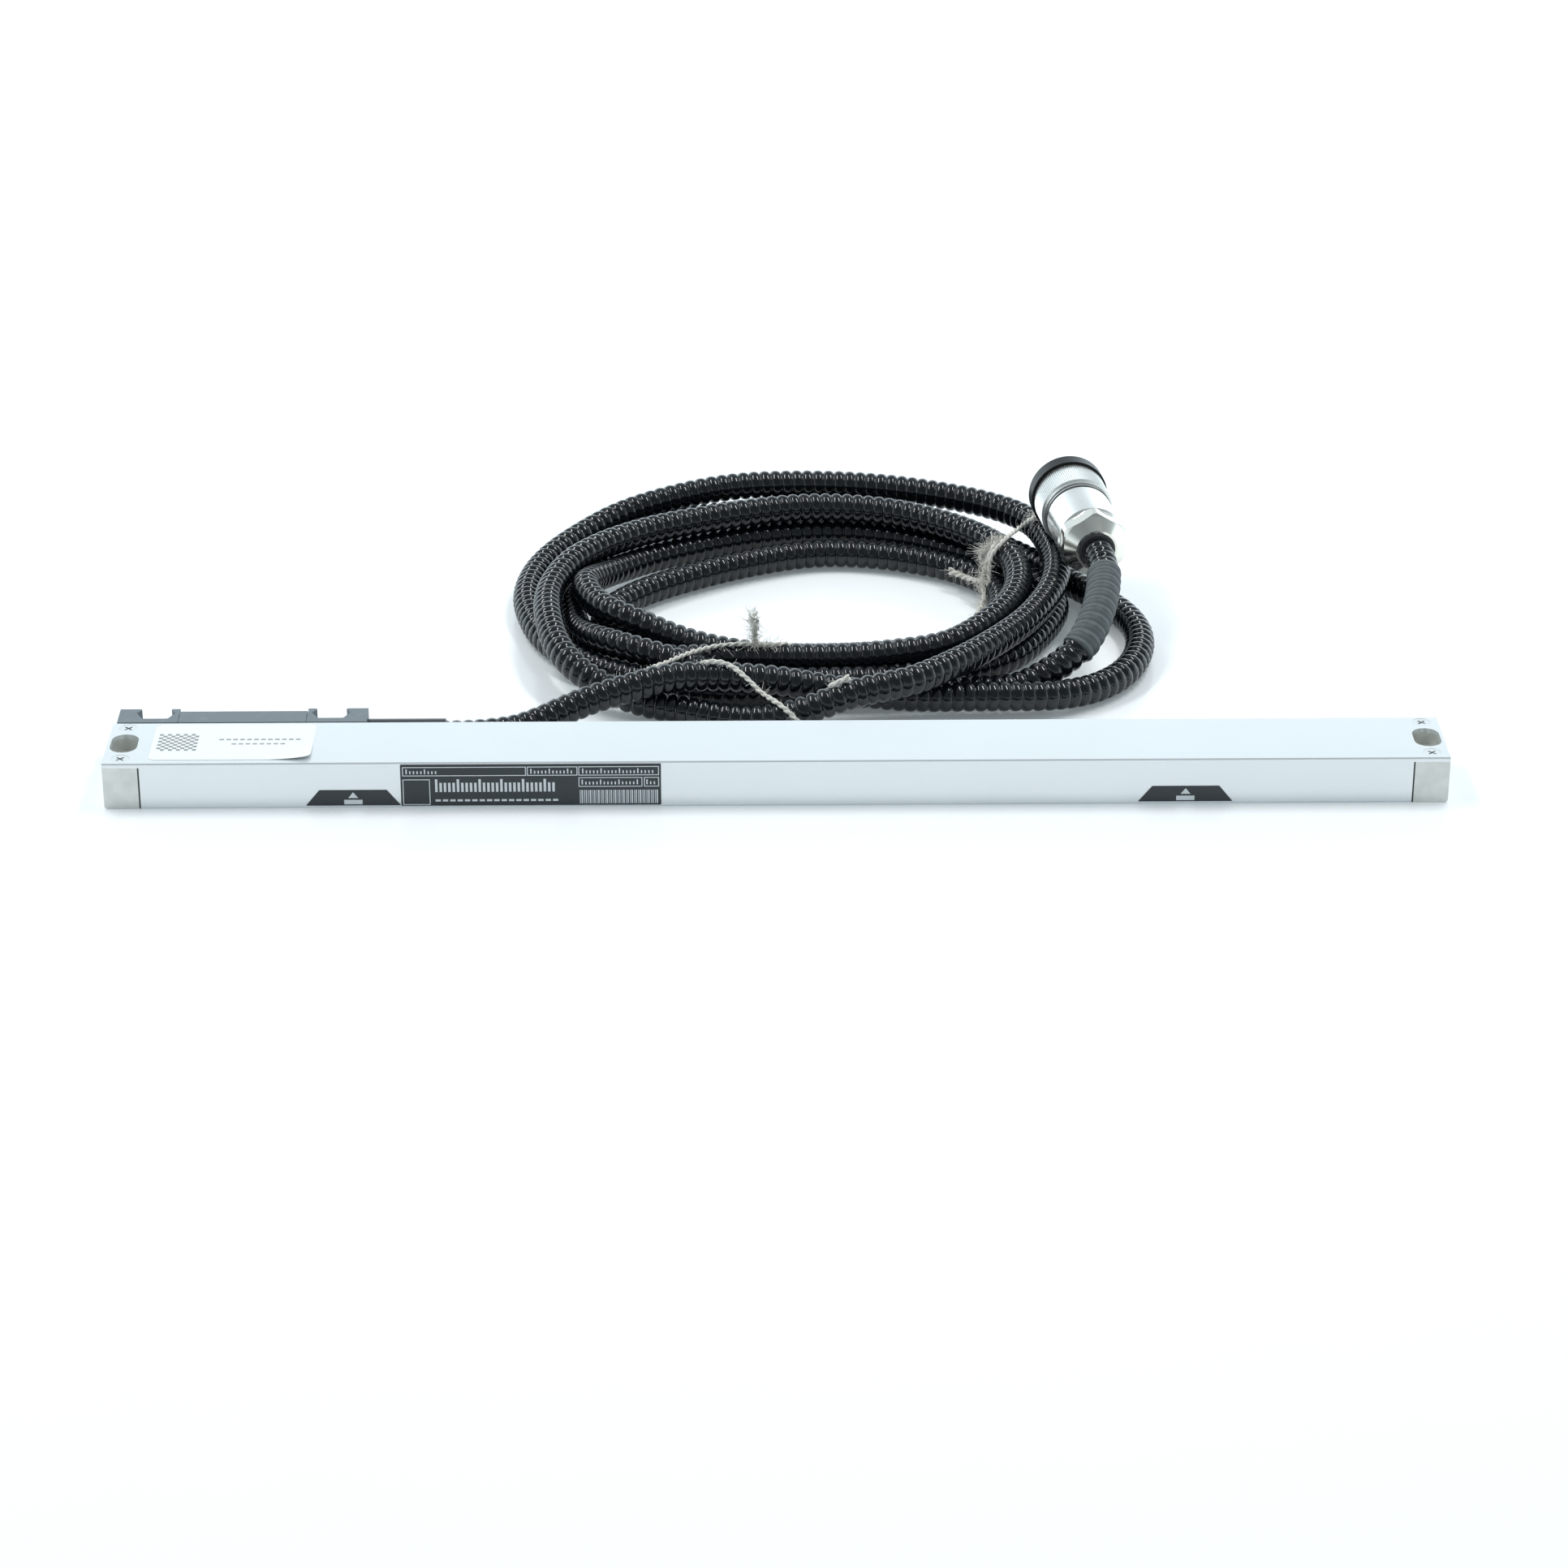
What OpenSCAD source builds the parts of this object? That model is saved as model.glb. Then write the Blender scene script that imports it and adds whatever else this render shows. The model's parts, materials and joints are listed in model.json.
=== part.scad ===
// Sealed linear glass scale with its scanning unit, armoured cable and round connector.
// Millimetres. X runs along the scale, +Y points to the slotted side, +Z is up.
// The origin is under the middle of the housing and scanning unit, on the resting surface.

/* [Housing] */
// Measuring length of the scale
measuring_l = 320; // [300:1:420]
// Length of the housing beyond the measuring length
housing_over = 84; // [82:0.5:100]
// Depth of the housing, from the front face to the slotted side
housing_d = 29.5; // [29:0.1:33]
// Height of the housing
housing_h = 14.8; // [14.6:0.1:18]
// Thickness of the top and bottom skins
skin_t = 1.35; // [1.3:0.05:1.5]
// Thickness of the front wall and of the slotted wall
side_t = 2.4; // [2.3:0.1:2.8]
// Bevel along the outer edges of the extrusion
edge_c = 0.4; // [0.2:0.1:0.8]
// Height of the slot for the blade
slot_h = 4.8; // [4.2:0.1:5.4]

/* [End blocks] */
// Length of an end block
block_end_l = 10.5; // [10.5:0.1:14]
// Thickness of the end gasket
gasket_t = 0.5; // [0.3:0.1:0.8]
// Length of the tongue that plugs into the extrusion
tongue_l = 3; // [2:0.1:3.6]
// Width of the mounting slot pocket along the housing
pocket_w = 8.2; // [7.6:0.1:8.6]
// Length of the mounting slot pocket across the housing
pocket_l = 13; // [11:0.1:13.6]
// Depth of the pocket below the top face
pocket_depth = 5; // [4:0.1:8]
// Width of the screw slot below the pocket
screw_slot_w = 4.6; // [4.4:0.1:5.5]
// Distance of the slots and cover screws from the end of the housing
slot_inset = 5.1; // [5.1:0.05:5.4]
// Distance between the two cover screws of one end
cover_screw_pitch = 21.8; // [21.4:0.1:22.4]
// Head diameter of the cover screws
cover_screw_head_d = 5.6; // [5.2:0.1:5.8]
// Thread diameter of the cover screws
cover_screw_d = 3; // [2.5:0.1:3]

/* [Glass scale] */
// Thickness of the glass
glass_t = 2.6; // [2.2:0.1:3]
// Width of the glass
glass_w = 11; // [10:0.1:11.5]
// Thickness of the elastic bond round the glass
bond_t = 0.3; // [0.2:0.05:0.4]
// Depth of the groove that holds the glass
groove_d = 3; // [2:0.1:3.2]

/* [Scanning carriage] */
// Length of the carriage
carriage_l = 48; // [46:0.5:50]
// Gap between the carriage and the inside of the housing
carriage_gap = 0.65; // [0.5:0.05:0.8]
// Gap between the carriage and the end block at the start of its travel
travel_gap = 0.9; // [0.5:0.1:1.5]
// Outer diameter of the miniature bearings
bearing_d = 4; // [3.6:0.05:4]
// Bore of the miniature bearings
bearing_bore_d = 1; // [0.8:0.05:1.2]
// Width of the miniature bearings
bearing_w = 1.6; // [1.2:0.05:1.8]

/* [Coupling blade] */
// Thickness of the blade between the lips
blade_t = 0.8; // [0.6:0.05:1]
// Length of the blade
blade_l = 40; // [36:0.5:44]
// Gap between the blade and each sealing lip
lip_gap = 0.15; // [0.1:0.05:0.3]

/* [Mounting block] */
// Length of the mounting block
block_l = 76; // [76:0.5:80]
// Depth of the mounting block
block_d = 9.9; // [9.9:0.1:12]
// Height of the mounting block
block_h = 14.2; // [13.8:0.1:14.4]
// Height of the block's underside above the resting surface
block_lift = 0.3; // [0.2:0.1:0.6]
// Air gap between the housing and the block
air_gap = 1; // [0.8:0.1:1.5]
// Distance of a notch's middle from the end of the block
notch_inset = 11.2; // [10.8:0.1:11.6]
// Width of a notch at its open back
notch_mouth = 9; // [8.4:0.1:9.6]
// Width of a notch across its V grooves
notch_vee = 11.8; // [11:0.1:12.4]
// Depth of a notch
notch_depth = 7; // [6.6:0.1:7.2]
// Length of the cover in the middle of the block
cover_l = 39.2; // [38:0.1:40]
// Step of the block's middle section back from its ears
cover_step = 1.9; // [1.6:0.1:2.2]
// Thickness of the cover
cover_t = 1.2; // [1:0.1:1.8]

/* [Cable] */
// Diameter of the armoured cable
cable_d = 9.6; // [9.2:0.1:9.8]
// Outer diameter of the outlet sleeve
outlet_d = 10.6; // [10.4:0.1:10.8]
// Length of the outlet sleeve
outlet_l = 23.8; // [20:0.1:26]
// Outer diameter of the shrink sleeve near the connector
shrink_d = 11.4; // [10.6:0.1:12]
// Outer radius of the coil
coil_r = 100; // [98:0.5:101]
// Inner radius of the coil
coil_inner_r = 42; // [38:0.5:46]
// Height of the coil
coil_h = 20; // [18:0.5:22]

/* [Connector] */
// Radius of the connector barrel
barrel_r = 11; // [10.6:0.1:11.4]
// Radius of the knurled coupling ring
ring_r = 12.2; // [12:0.1:12.6]
// Length of the coupling ring
ring_l = 17.8; // [16:0.1:18.6]
// Number of flutes of the knurl
ring_flutes = 110; // [80:5:120]
// Wall of the dust cap
cap_wall = 0.65; // [0.5:0.05:0.9]
// Number of contacts
contact_count = 12; // [6:1:12]
// Diameter of a contact
contact_d = 1; // [0.8:0.1:1.2]

/* [Hidden] */
$fn = 48;

// Clearances and small values
slip = 0.03;             // radial clearance of a seated pin or screw
run_gap = 0.05;          // running clearance of a rolling or turning piece
tongue_gap = 0.15;       // clearance of the tongue in the extrusion
cut = 1;                 // how far a cutter runs past a face

// Housing
housing_l = measuring_l + housing_over;
overall_d = housing_d + air_gap + block_d / 2 + max(block_d, outlet_d) / 2;
front_y = -overall_d / 2;
mid_a = housing_d / 2;                      // middle of the housing's depth
mid_z = housing_h / 2;
inner_half_h = mid_z - skin_t;              // half height of the cavity
body_end = housing_l / 2 - block_end_l;     // where an end block starts
extrusion_end = body_end - gasket_t;        // where the full section ends
tongue_end = extrusion_end - tongue_l;
rib_t = 1.4;                                // ribs that form the glass groove
bead_h = 1.2;                               // bead of a sealing lip in its groove
bead_t = 1.1;
bead_a = 0.6;                               // groove's distance from the cavity
end_corner_r = 1;
lip_t = 0.3;                                // thickness of a lip at its root
lip_inset = 0.1;                            // lip behind the housing's face
lip_tip_w = 0.4;

// Screws
cover_screw_l = 8;
head_sink = 0.05;
cross_l = 3;
cross_w = 0.6;
cross_depth = 0.9;

// Glass
glass_a0 = side_t + bond_t;
glass_a1 = glass_a0 + glass_w;
glass_end_gap = 0.5;
glass_half = tongue_end - glass_end_gap;

// Carriage, in distances from the housing's front face
carriage_clear = 0.8;                       // to the glass groove and to the glass's edge
web_t = 7;
arm_a0 = side_t + groove_d + carriage_clear;
web_a0 = glass_a1 + carriage_clear;
web_a1 = web_a0 + web_t;
arm_gap = 0.6;                              // between the arms and the glass
arm_z = glass_t / 2 + arm_gap;              // inner face of an arm from the middle
carriage_half_h = inner_half_h - carriage_gap;
arm_mid_a = (arm_a0 + web_a0) / 2;
bearing_r = bearing_d / 2;
pin_r = bearing_bore_d / 2 - run_gap;
window_gap = 0.5;                           // round a bearing
face_bearing_x = 17;
edge_bearing_x = 20;
face_bearing_z = mid_z + glass_t / 2 + run_gap + bearing_r;
edge_bearing_a = glass_a1 + run_gap + bearing_r;
pin_reach = 1.8;                            // pin in the carriage on each side of its window
lens_d = 4;
lens_t = 1;
lamp_d = 3;
reticle_size = [12, 6, 0.8];
window_size = [9, 4];
board_size = [16, 6.4, 0.8];
board_lift = 0.3;
cell_size = [1.6, 3, 0.5];
cell_pitch = 2.2;
cell_count = 4;

// Blade, rod and lead
blade_gap = 0.7;                            // between the carriage and the blade
blade_a0 = web_a1 + blade_gap;
blade_root = 2.6;                           // depth of the blade in the block
blade_tip = 7;                              // length of each pointed end
lug_w = 4;
lug_x = 12;
lug_h = 2.6;
lug_d = 2.8;
rod_d = 0.8;
rod_a = web_a1 + (blade_gap + lug_d) / 2;
rod_z = mid_z + 2.1;
lead_w = 6;
lead_t = 0.2;

// Mounting block
unit_x = -(tongue_end - travel_gap - carriage_l / 2);
block_a0 = housing_d + air_gap;
block_a1 = block_a0 + block_d;
block_x0 = unit_x - block_l / 2;
block_x1 = unit_x + block_l / 2;
block_top = block_lift + block_h;
cover_a1 = block_a1 - cover_step;
cover_rim = 1.2;                            // block wall in front of the cover
gasket_sheet = 0.3;
vee_depth = 2.9;                            // from the back face to the V grooves' points
notch_floor = 8.2;
notch_corner = 0.4;
ear_r = 0.6;
room_wall = 0.9;
room_a0 = block_a0 + blade_root + room_wall; // room for the connection board
room_a1 = cover_a1 - cover_rim;
room_l = cover_l - 4;
room_gap = 0.8;                             // round the connection board
room_floor = 3;
channel_wall = 0.7;
channel_a0 = block_a0 + channel_wall;       // passage for the wires to the outlet
channel_a1 = block_a1 - notch_depth - channel_wall;
channel_over = 6;                           // length of the passage beside the room
channel_h = 6;
board_t = 1;
board_h = 8;

// Cable outlet
outlet_a = block_a0 + block_d / 2;
outlet_y = front_y + outlet_a;
ferrule_r = 3.6;
ferrule_bore_r = 2.4;
ferrule_seat = 4;
cable_seat = 2;                             // cable inside the outlet sleeve
outlet_x1 = block_x1 + outlet_l;

// Cable
cable_sides = 10;
coil_x = 2;
coil_y = 122;
coil_edge_r = 9;
// Route of the lead, from the outlet sleeve to the coil
lead_points = [[-90, 16.5, 7.2], [-80, 19.5, 7.2], [-71, 24.5, 8.5], [-62, 30, 10.5],
    [-52, 34, 12.5], [-42, 37.5, 14], [-32, 41, 15]];
// Route of the wide loop on the right
loop_points = [[44, 42.5, 7.2], [58, 43.3, 6.9], [73, 43.3, 7], [88, 46, 6], [101, 53.5, 5],
    [111, 64.5, 5], [117, 79, 5], [119, 95, 5], [116, 111.5, 5], [109, 125.5, 5],
    [101.5, 137.5, 5], [88, 159, 5]];
// Route from the coil up to the connector; the shrink sleeve covers points 3 to 5
tail_points = [[58, 53, 5], [76, 53, 5.4], [87, 57.3, 9.4], [96, 62, 14.2], [104, 77.5, 22],
    [107, 96.5, 27]];
sleeve_first = 3;
sleeve_last = 5;

// Connector, along its own axis from the cable end
connector_at = [106, 110.5, 28.3];
connector_turn = 97.8;
connector_lift = 2.5;
connector_axis = [cos(connector_lift) * cos(connector_turn),
    cos(connector_lift) * sin(connector_turn), sin(connector_lift)];
straight_l = 7;                             // straight cable in front of the connector
seal_l = 5;
seal_r = 6.1;
small_edge = 0.6;                           // bevel of small turned edges
nut_start = 0.5;
nut_end = 9.4;
nut_flat = 20.4;                            // across the flats
nut_r = 11.4;
nut_neck_r = 6.9;
nut_cone = [3.5, 3.6];                      // rise and length of the nut's cone
nut_shoulder = 4.2;                         // from the nut's start to its full radius
ring_start = 29.4;
nose_back = 0.6;                            // barrel's nose behind the ring's end
barrel_end = ring_start + ring_l - nose_back;
barrel_step = 29;                           // where the barrel narrows inside the ring
nose_r = 10;
nose_bore_r = 9;
insert_start = 24;
insert_end = barrel_end - 4;
contact_start = 28;
contact_end = barrel_end - 0.5;
contact_circle_r = 6.2;
o_ring_r = 0.5;
o_ring_proud = 0.2;                         // ring standing out of its groove
o_ring_at = 27.6;
collar_l = 1.5;                             // plain collar of the coupling ring
collar_drop = 0.7;                          // collar below the knurl
flute_depth = 0.3;
cap_skirt = 4;
cap_plate = 1.5;

// ---------------------------------------------------------------- helpers

// Extrudes a section drawn as (distance from the front face, height) along X
module along(x0, x1) {
    translate([x0, front_y, 0]) rotate([90, 0, 90]) linear_extrude(x1 - x0) children();
}

// Extrudes an outline drawn as (x, distance from the front face) from z0 to z1
module upward(z0, z1) {
    translate([0, front_y, z0]) linear_extrude(z1 - z0) children();
}

// A box given by x, distance from the front face and height, each from low to high
module slab(x, a, z) {
    translate([x[0], front_y + a[0], z[0]]) cube([x[1] - x[0], a[1] - a[0], z[1] - z[0]]);
}

// A round-ended slot, longer along its second axis
module obround(w, l) {
    square([w, l - w], center = true);
    for (s = [-1, 1]) translate([0, s * (l - w) / 2]) circle(d = w);
}

// A vertical cylinder at x and a distance from the front face
module post(x, a, z0, z1, r) {
    translate([x, front_y + a, z0]) cylinder(r = r, h = z1 - z0);
}

// Places children at the connector, +Z along its axis
module at_connector() {
    translate(connector_at) rotate([0, 90 - connector_lift, connector_turn]) children();
}

// A cylinder on the connector's axis from z0 to z1
module cylinder_from(z0, z1, r) {
    translate([0, 0, z0]) cylinder(r = r, h = z1 - z0);
}

// A solid of revolution about the connector's axis, from a list of [radius, place]
module turned(points) {
    rotate_extrude() polygon(points);
}

function unit(v) = v / norm(v);
function tangent(p, i) = unit(p[min(i + 1, len(p) - 1)] - p[max(i - 1, 0)]);

// One ring of the tube round point i
function tube_ring(p, i, r, sides) =
    let (t = tangent(p, i), side = unit(cross(t, [0, 0, 1])), up = cross(side, t))
    [for (k = [0 : sides - 1])
        p[i] + r * (cos(360 * k / sides) * side + sin(360 * k / sides) * up)];

// A tube swept along the points first to last of a route
module tube(p, first, last, r) {
    sides = cable_sides;
    rings = [for (i = [first : last]) each tube_ring(p, i, r, sides)];
    far = (last - first) * sides;
    walls = [for (i = [0 : last - first - 1]) for (k = [0 : sides - 1])
        [i * sides + k, i * sides + (k + 1) % sides,
         (i + 1) * sides + (k + 1) % sides, (i + 1) * sides + k]];
    near_end = [for (k = [0 : sides - 1]) sides - 1 - k];
    far_end = [for (k = [0 : sides - 1]) far + k];
    polyhedron(rings, concat([near_end, far_end], walls));
}

// ---------------------------------------------------------------- housing

// Outer section of the housing, with its edges bevelled
module housing_outline() {
    polygon([[edge_c, 0], [housing_d - edge_c, 0], [housing_d, edge_c],
        [housing_d, housing_h - edge_c], [housing_d - edge_c, housing_h],
        [edge_c, housing_h], [0, housing_h - edge_c], [0, edge_c]]);
}

// Cavity, glass groove, blade slot and lip grooves of the extrusion
module housing_hollow() {
    groove_half = glass_t / 2 + bond_t;
    difference() {
        translate([side_t, skin_t]) square([housing_d - 2 * side_t, housing_h - 2 * skin_t]);
        for (s = [-1, 1])
            translate([side_t - slip, mid_z + s * (groove_half + rib_t / 2)])
                square([2 * (groove_d + slip), rib_t], center = true);
    }
    translate([housing_d - side_t - slip, mid_z - slot_h / 2])
        square([side_t + slip + cut, slot_h]);
    translate([housing_d - side_t + bead_a, mid_z - slot_h / 2 - bead_h])
        square([bead_t, slot_h + 2 * bead_h]);
}

module mount_slots(z0, z1, w, l) {
    for (s = [-1, 1])
        upward(z0, z1) translate([s * (housing_l / 2 - slot_inset), mid_a]) obround(w, l);
}

// Calls its children at the place of every cover screw
module at_cover_screws() {
    for (s = [-1, 1], t = [-1, 1])
        translate([s * (housing_l / 2 - slot_inset),
            front_y + mid_a + t * cover_screw_pitch / 2, 0]) children();
}

module screw_cutter() {
    sink = (cover_screw_head_d - cover_screw_d) / 2;
    translate([0, 0, housing_h - head_sink - cover_screw_l])
        cylinder(d = cover_screw_d + 2 * slip, h = cover_screw_l + cut);
    translate([0, 0, housing_h - head_sink - sink])
        cylinder(d1 = cover_screw_d + 2 * slip, d2 = cover_screw_head_d + 2 * slip, h = sink);
    translate([0, 0, housing_h - head_sink])
        cylinder(d = cover_screw_head_d + 2 * slip, h = cut);
}

module housing_extrusion() {
    color("gainsboro") difference() {
        along(-housing_l / 2, housing_l / 2) housing_outline();
        along(-extrusion_end - cut, extrusion_end + cut) housing_hollow();
        for (x = [[-housing_l / 2 - cut, -extrusion_end], [extrusion_end, housing_l / 2 + cut]])
            slab(x, [-cut, housing_d + cut], [-cut, housing_h - skin_t]);
        mount_slots(0, housing_h + cut, pocket_w, pocket_l);
        at_cover_screws() screw_cutter();
    }
}

// End block on the side s: -1 left, 1 right
module end_block(s) {
    tongue_x = [tongue_end, body_end + cut];
    color("darkgray") difference() {
        union() {
            translate([0, front_y + housing_d, 0]) rotate([90, 0, 0]) linear_extrude(housing_d)
                end_block_side(s);
            slab(s > 0 ? tongue_x : [-tongue_x[1], -tongue_x[0]],
                [side_t + groove_d + tongue_gap, housing_d - side_t - tongue_gap],
                [skin_t + tongue_gap, housing_h - skin_t - tongue_gap]);
        }
        mount_slots(-cut, housing_h, screw_slot_w, screw_slot_w + pocket_l - pocket_w);
        mount_slots(housing_h - pocket_depth, housing_h, pocket_w, pocket_l);
        at_cover_screws() screw_cutter();
    }
}

// Side view of an end block, with its outer bottom corner rounded
module end_block_side(s) {
    h = housing_h - skin_t;
    mirror([s > 0 ? 0 : 1, 0]) {
        translate([body_end, end_corner_r]) square([block_end_l, h - end_corner_r]);
        translate([body_end, 0]) square([block_end_l - end_corner_r, h]);
        translate([housing_l / 2 - end_corner_r, end_corner_r]) circle(r = end_corner_r);
    }
}

module end_block_left() { end_block(-1); }
module end_block_right() { end_block(1); }

module end_gaskets() {
    color("dimgray") for (s = [-1, 1]) difference() {
        x = s > 0 ? [extrusion_end, body_end] : [-body_end, -extrusion_end];
        along(x[0], x[1]) intersection() {
            housing_outline();
            square([housing_d, housing_h - skin_t]);
        }
        slab([x[0] - cut, x[1] + cut],
            [side_t + groove_d, housing_d - side_t], [skin_t, housing_h - skin_t - slip]);
    }
}

module end_block_screws() {
    sink = (cover_screw_head_d - cover_screw_d) / 2;
    color("silver") at_cover_screws() translate([0, 0, housing_h - head_sink]) difference() {
        union() {
            translate([0, 0, -cover_screw_l]) cylinder(d = cover_screw_d, h = cover_screw_l);
            translate([0, 0, -sink])
                cylinder(d1 = cover_screw_d, d2 = cover_screw_head_d, h = sink);
        }
        for (a = [45, 135]) rotate(a)
            translate([-cross_l / 2, -cross_w / 2, -cross_depth])
                cube([cross_l, cross_w, cut + cross_depth]);
    }
}

// ---------------------------------------------------------------- glass and seals

module glass_section() {
    translate([glass_a0, mid_z - glass_t / 2]) square([glass_w, glass_t]);
}

module glass_scale() {
    color("lightcyan") along(-glass_half, glass_half) glass_section();
}

module scale_bond() {
    color("beige") along(-glass_half, glass_half) difference() {
        translate([side_t, mid_z - glass_t / 2 - bond_t]) square([groove_d, glass_t + 2 * bond_t]);
        glass_section();
    }
}

// Section of a lip: its bead in the groove and its tongue towards the blade, side s up or down
module lip_section(s) {
    tip = blade_t / 2 + lip_gap;
    root_a = housing_d - side_t + bead_a;
    translate([0, mid_z]) mirror([0, s > 0 ? 0 : 1]) {
        polygon([[root_a, slot_h / 2 + bead_h], [root_a, slot_h / 2 - lip_t],
            [housing_d - lip_inset - lip_tip_w, tip], [housing_d - lip_inset, tip],
            [housing_d - lip_inset, slot_h / 2 - lip_inset], [root_a + bead_t, slot_h / 2],
            [root_a + bead_t, slot_h / 2 + bead_h]]);
    }
}

module sealing_lip(s) {
    color("black") along(-extrusion_end, extrusion_end) lip_section(s);
}

module sealing_lip_upper() { sealing_lip(1); }
module sealing_lip_lower() { sealing_lip(-1); }

// ---------------------------------------------------------------- scanning carriage

// A C-shaped section: an arm over and under the glass, joined by a web behind it
module carriage_section() {
    difference() {
        translate([arm_a0, mid_z - carriage_half_h])
            square([web_a1 - arm_a0, 2 * carriage_half_h]);
        translate([arm_a0 - cut, mid_z - arm_z]) square([web_a0 - arm_a0 + cut, 2 * arm_z]);
    }
}

// Pocket round a bearing whose axis lies along Y
module face_window(x) {
    w = bearing_w / 2 + window_gap;
    slab([x - bearing_r - window_gap, x + bearing_r + window_gap],
        [arm_mid_a - w, arm_mid_a + w], [mid_z, housing_h]);
}

// Pocket round a bearing whose axis stands up
module edge_window(x) {
    w = bearing_w / 2 + window_gap;
    slab([x - bearing_r - window_gap, x + bearing_r + window_gap],
        [glass_a1, edge_bearing_a + bearing_r + window_gap], [mid_z - w, mid_z + w]);
}

module face_pin(x, r, reach) {
    half = bearing_w / 2 + window_gap + reach;
    translate([x, front_y + arm_mid_a + half, face_bearing_z]) rotate([90, 0, 0])
        cylinder(r = r, h = 2 * half);
}

module edge_pin(x, r, reach) {
    half = bearing_w / 2 + window_gap + reach;
    post(x, edge_bearing_a, mid_z - half, mid_z + half, r);
}

module scanning_carriage() {
    lens_top = mid_z + arm_z + lens_t;
    reticle_top = mid_z - arm_z;
    color("slategray") difference() {
        union() {
            along(unit_x - carriage_l / 2, unit_x + carriage_l / 2) carriage_section();
            slab([unit_x + lug_x - lug_w / 2, unit_x + lug_x + lug_w / 2],
                [web_a1 - slip, web_a1 + lug_d], [rod_z - lug_h / 2, rod_z + lug_h / 2]);
        }
        for (s = [-1, 1]) {
            face_window(unit_x + s * face_bearing_x);
            face_pin(unit_x + s * face_bearing_x, pin_r + slip, pin_reach);
            edge_window(unit_x + s * edge_bearing_x);
            edge_pin(unit_x + s * edge_bearing_x, pin_r + slip, pin_reach);
        }
        post(unit_x, arm_mid_a, mid_z, lens_top, lens_d / 2 + slip);
        post(unit_x, arm_mid_a, mid_z, housing_h, lamp_d / 2 + slip);
        slab([unit_x - reticle_size[0] / 2, unit_x + reticle_size[0] / 2],
            [arm_mid_a - reticle_size[1] / 2, arm_mid_a + reticle_size[1] / 2],
            [reticle_top - reticle_size[2], mid_z]);
        slab([unit_x - window_size[0] / 2, unit_x + window_size[0] / 2],
            [arm_mid_a - window_size[1] / 2, arm_mid_a + window_size[1] / 2], [0, mid_z]);
        slab([unit_x - board_size[0] / 2, unit_x + board_size[0] / 2],
            [arm_mid_a - board_size[1] / 2, arm_mid_a + board_size[1] / 2],
            [0, mid_z - carriage_half_h + board_lift + board_size[2]]);
        translate([unit_x - lug_x, front_y + rod_a, rod_z]) rotate([0, 90, 0])
            cylinder(d = rod_d + 2 * slip, h = 3 * lug_x);
    }
}

module bearing_pins() {
    color("silver") for (s = [-1, 1]) {
        face_pin(unit_x + s * face_bearing_x, pin_r, pin_reach);
        edge_pin(unit_x + s * edge_bearing_x, pin_r, pin_reach);
    }
}

// A miniature ball bearing about +Z: two race shoulders and a shield groove between them
module bearing() {
    shield_r0 = bearing_r * 0.45;
    shield_r1 = bearing_r * 0.8;
    shield = 0.12;
    h = bearing_w / 2;
    bore_r = bearing_bore_d / 2;
    rotate_extrude() polygon([[bore_r, -h], [shield_r0, -h], [shield_r0, -h + shield],
        [shield_r1, -h + shield], [shield_r1, -h], [bearing_r, -h], [bearing_r, h],
        [shield_r1, h], [shield_r1, h - shield], [shield_r0, h - shield], [shield_r0, h],
        [bore_r, h]]);
}

module face_bearing(x) {
    color("lightgray") translate([x, front_y + arm_mid_a, face_bearing_z])
        rotate([90, 0, 0]) bearing();
}

module edge_bearing(x) {
    color("lightgray") translate([x, front_y + edge_bearing_a, mid_z]) bearing();
}

module face_bearing_left() { face_bearing(unit_x - face_bearing_x); }
module face_bearing_right() { face_bearing(unit_x + face_bearing_x); }
module edge_bearing_left() { edge_bearing(unit_x - edge_bearing_x); }
module edge_bearing_right() { edge_bearing(unit_x + edge_bearing_x); }

module light_source() {
    color("gold") post(unit_x, arm_mid_a, mid_z + arm_z + lens_t, mid_z + carriage_half_h,
        lamp_d / 2);
}

// A plano-convex lens, its flat side towards the lamp
module condenser_lens() {
    rim = lens_t * 0.4;
    r = lens_d / 2;
    dome = lens_t - rim;
    sphere_r = (r * r + dome * dome) / (2 * dome);
    color("azure") translate([unit_x, front_y + arm_mid_a, mid_z + arm_z + lens_t])
        mirror([0, 0, 1]) rotate_extrude() {
            square([r, rim]);
            intersection() {
                translate([0, lens_t - sphere_r]) circle(r = sphere_r);
                translate([0, rim]) square([r, dome]);
            }
        }
}

module scanning_reticle() {
    top = mid_z - arm_z;
    color("lightcyan") slab([unit_x - reticle_size[0] / 2, unit_x + reticle_size[0] / 2],
        [arm_mid_a - reticle_size[1] / 2, arm_mid_a + reticle_size[1] / 2],
        [top - reticle_size[2], top]);
}

module photocell_board() {
    z0 = mid_z - carriage_half_h + board_lift;
    color("darkgreen") slab([unit_x - board_size[0] / 2, unit_x + board_size[0] / 2],
        [arm_mid_a - board_size[1] / 2, arm_mid_a + board_size[1] / 2], [z0, z0 + board_size[2]]);
}

module photocells() {
    z0 = mid_z - carriage_half_h + board_lift + board_size[2];
    color("midnightblue") for (i = [0 : cell_count - 1]) {
        x = unit_x + (i - (cell_count - 1) / 2) * cell_pitch;
        slab([x - cell_size[0] / 2, x + cell_size[0] / 2],
            [arm_mid_a - cell_size[1] / 2, arm_mid_a + cell_size[1] / 2],
            [z0, z0 + cell_size[2]]);
    }
}

// ---------------------------------------------------------------- coupling

// The blade seen along Y: a flat bar whose two ends taper to an edge, so the lips part smoothly
module blade_bar(a0, a1) {
    h = blade_t / 2;
    l = blade_l / 2;
    translate([unit_x, front_y + a1, mid_z]) rotate([90, 0, 0]) linear_extrude(a1 - a0)
        polygon([[-l, 0], [-l + blade_tip, -h], [l - blade_tip, -h], [l, 0],
            [l - blade_tip, h], [-l + blade_tip, h]]);
}

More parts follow.
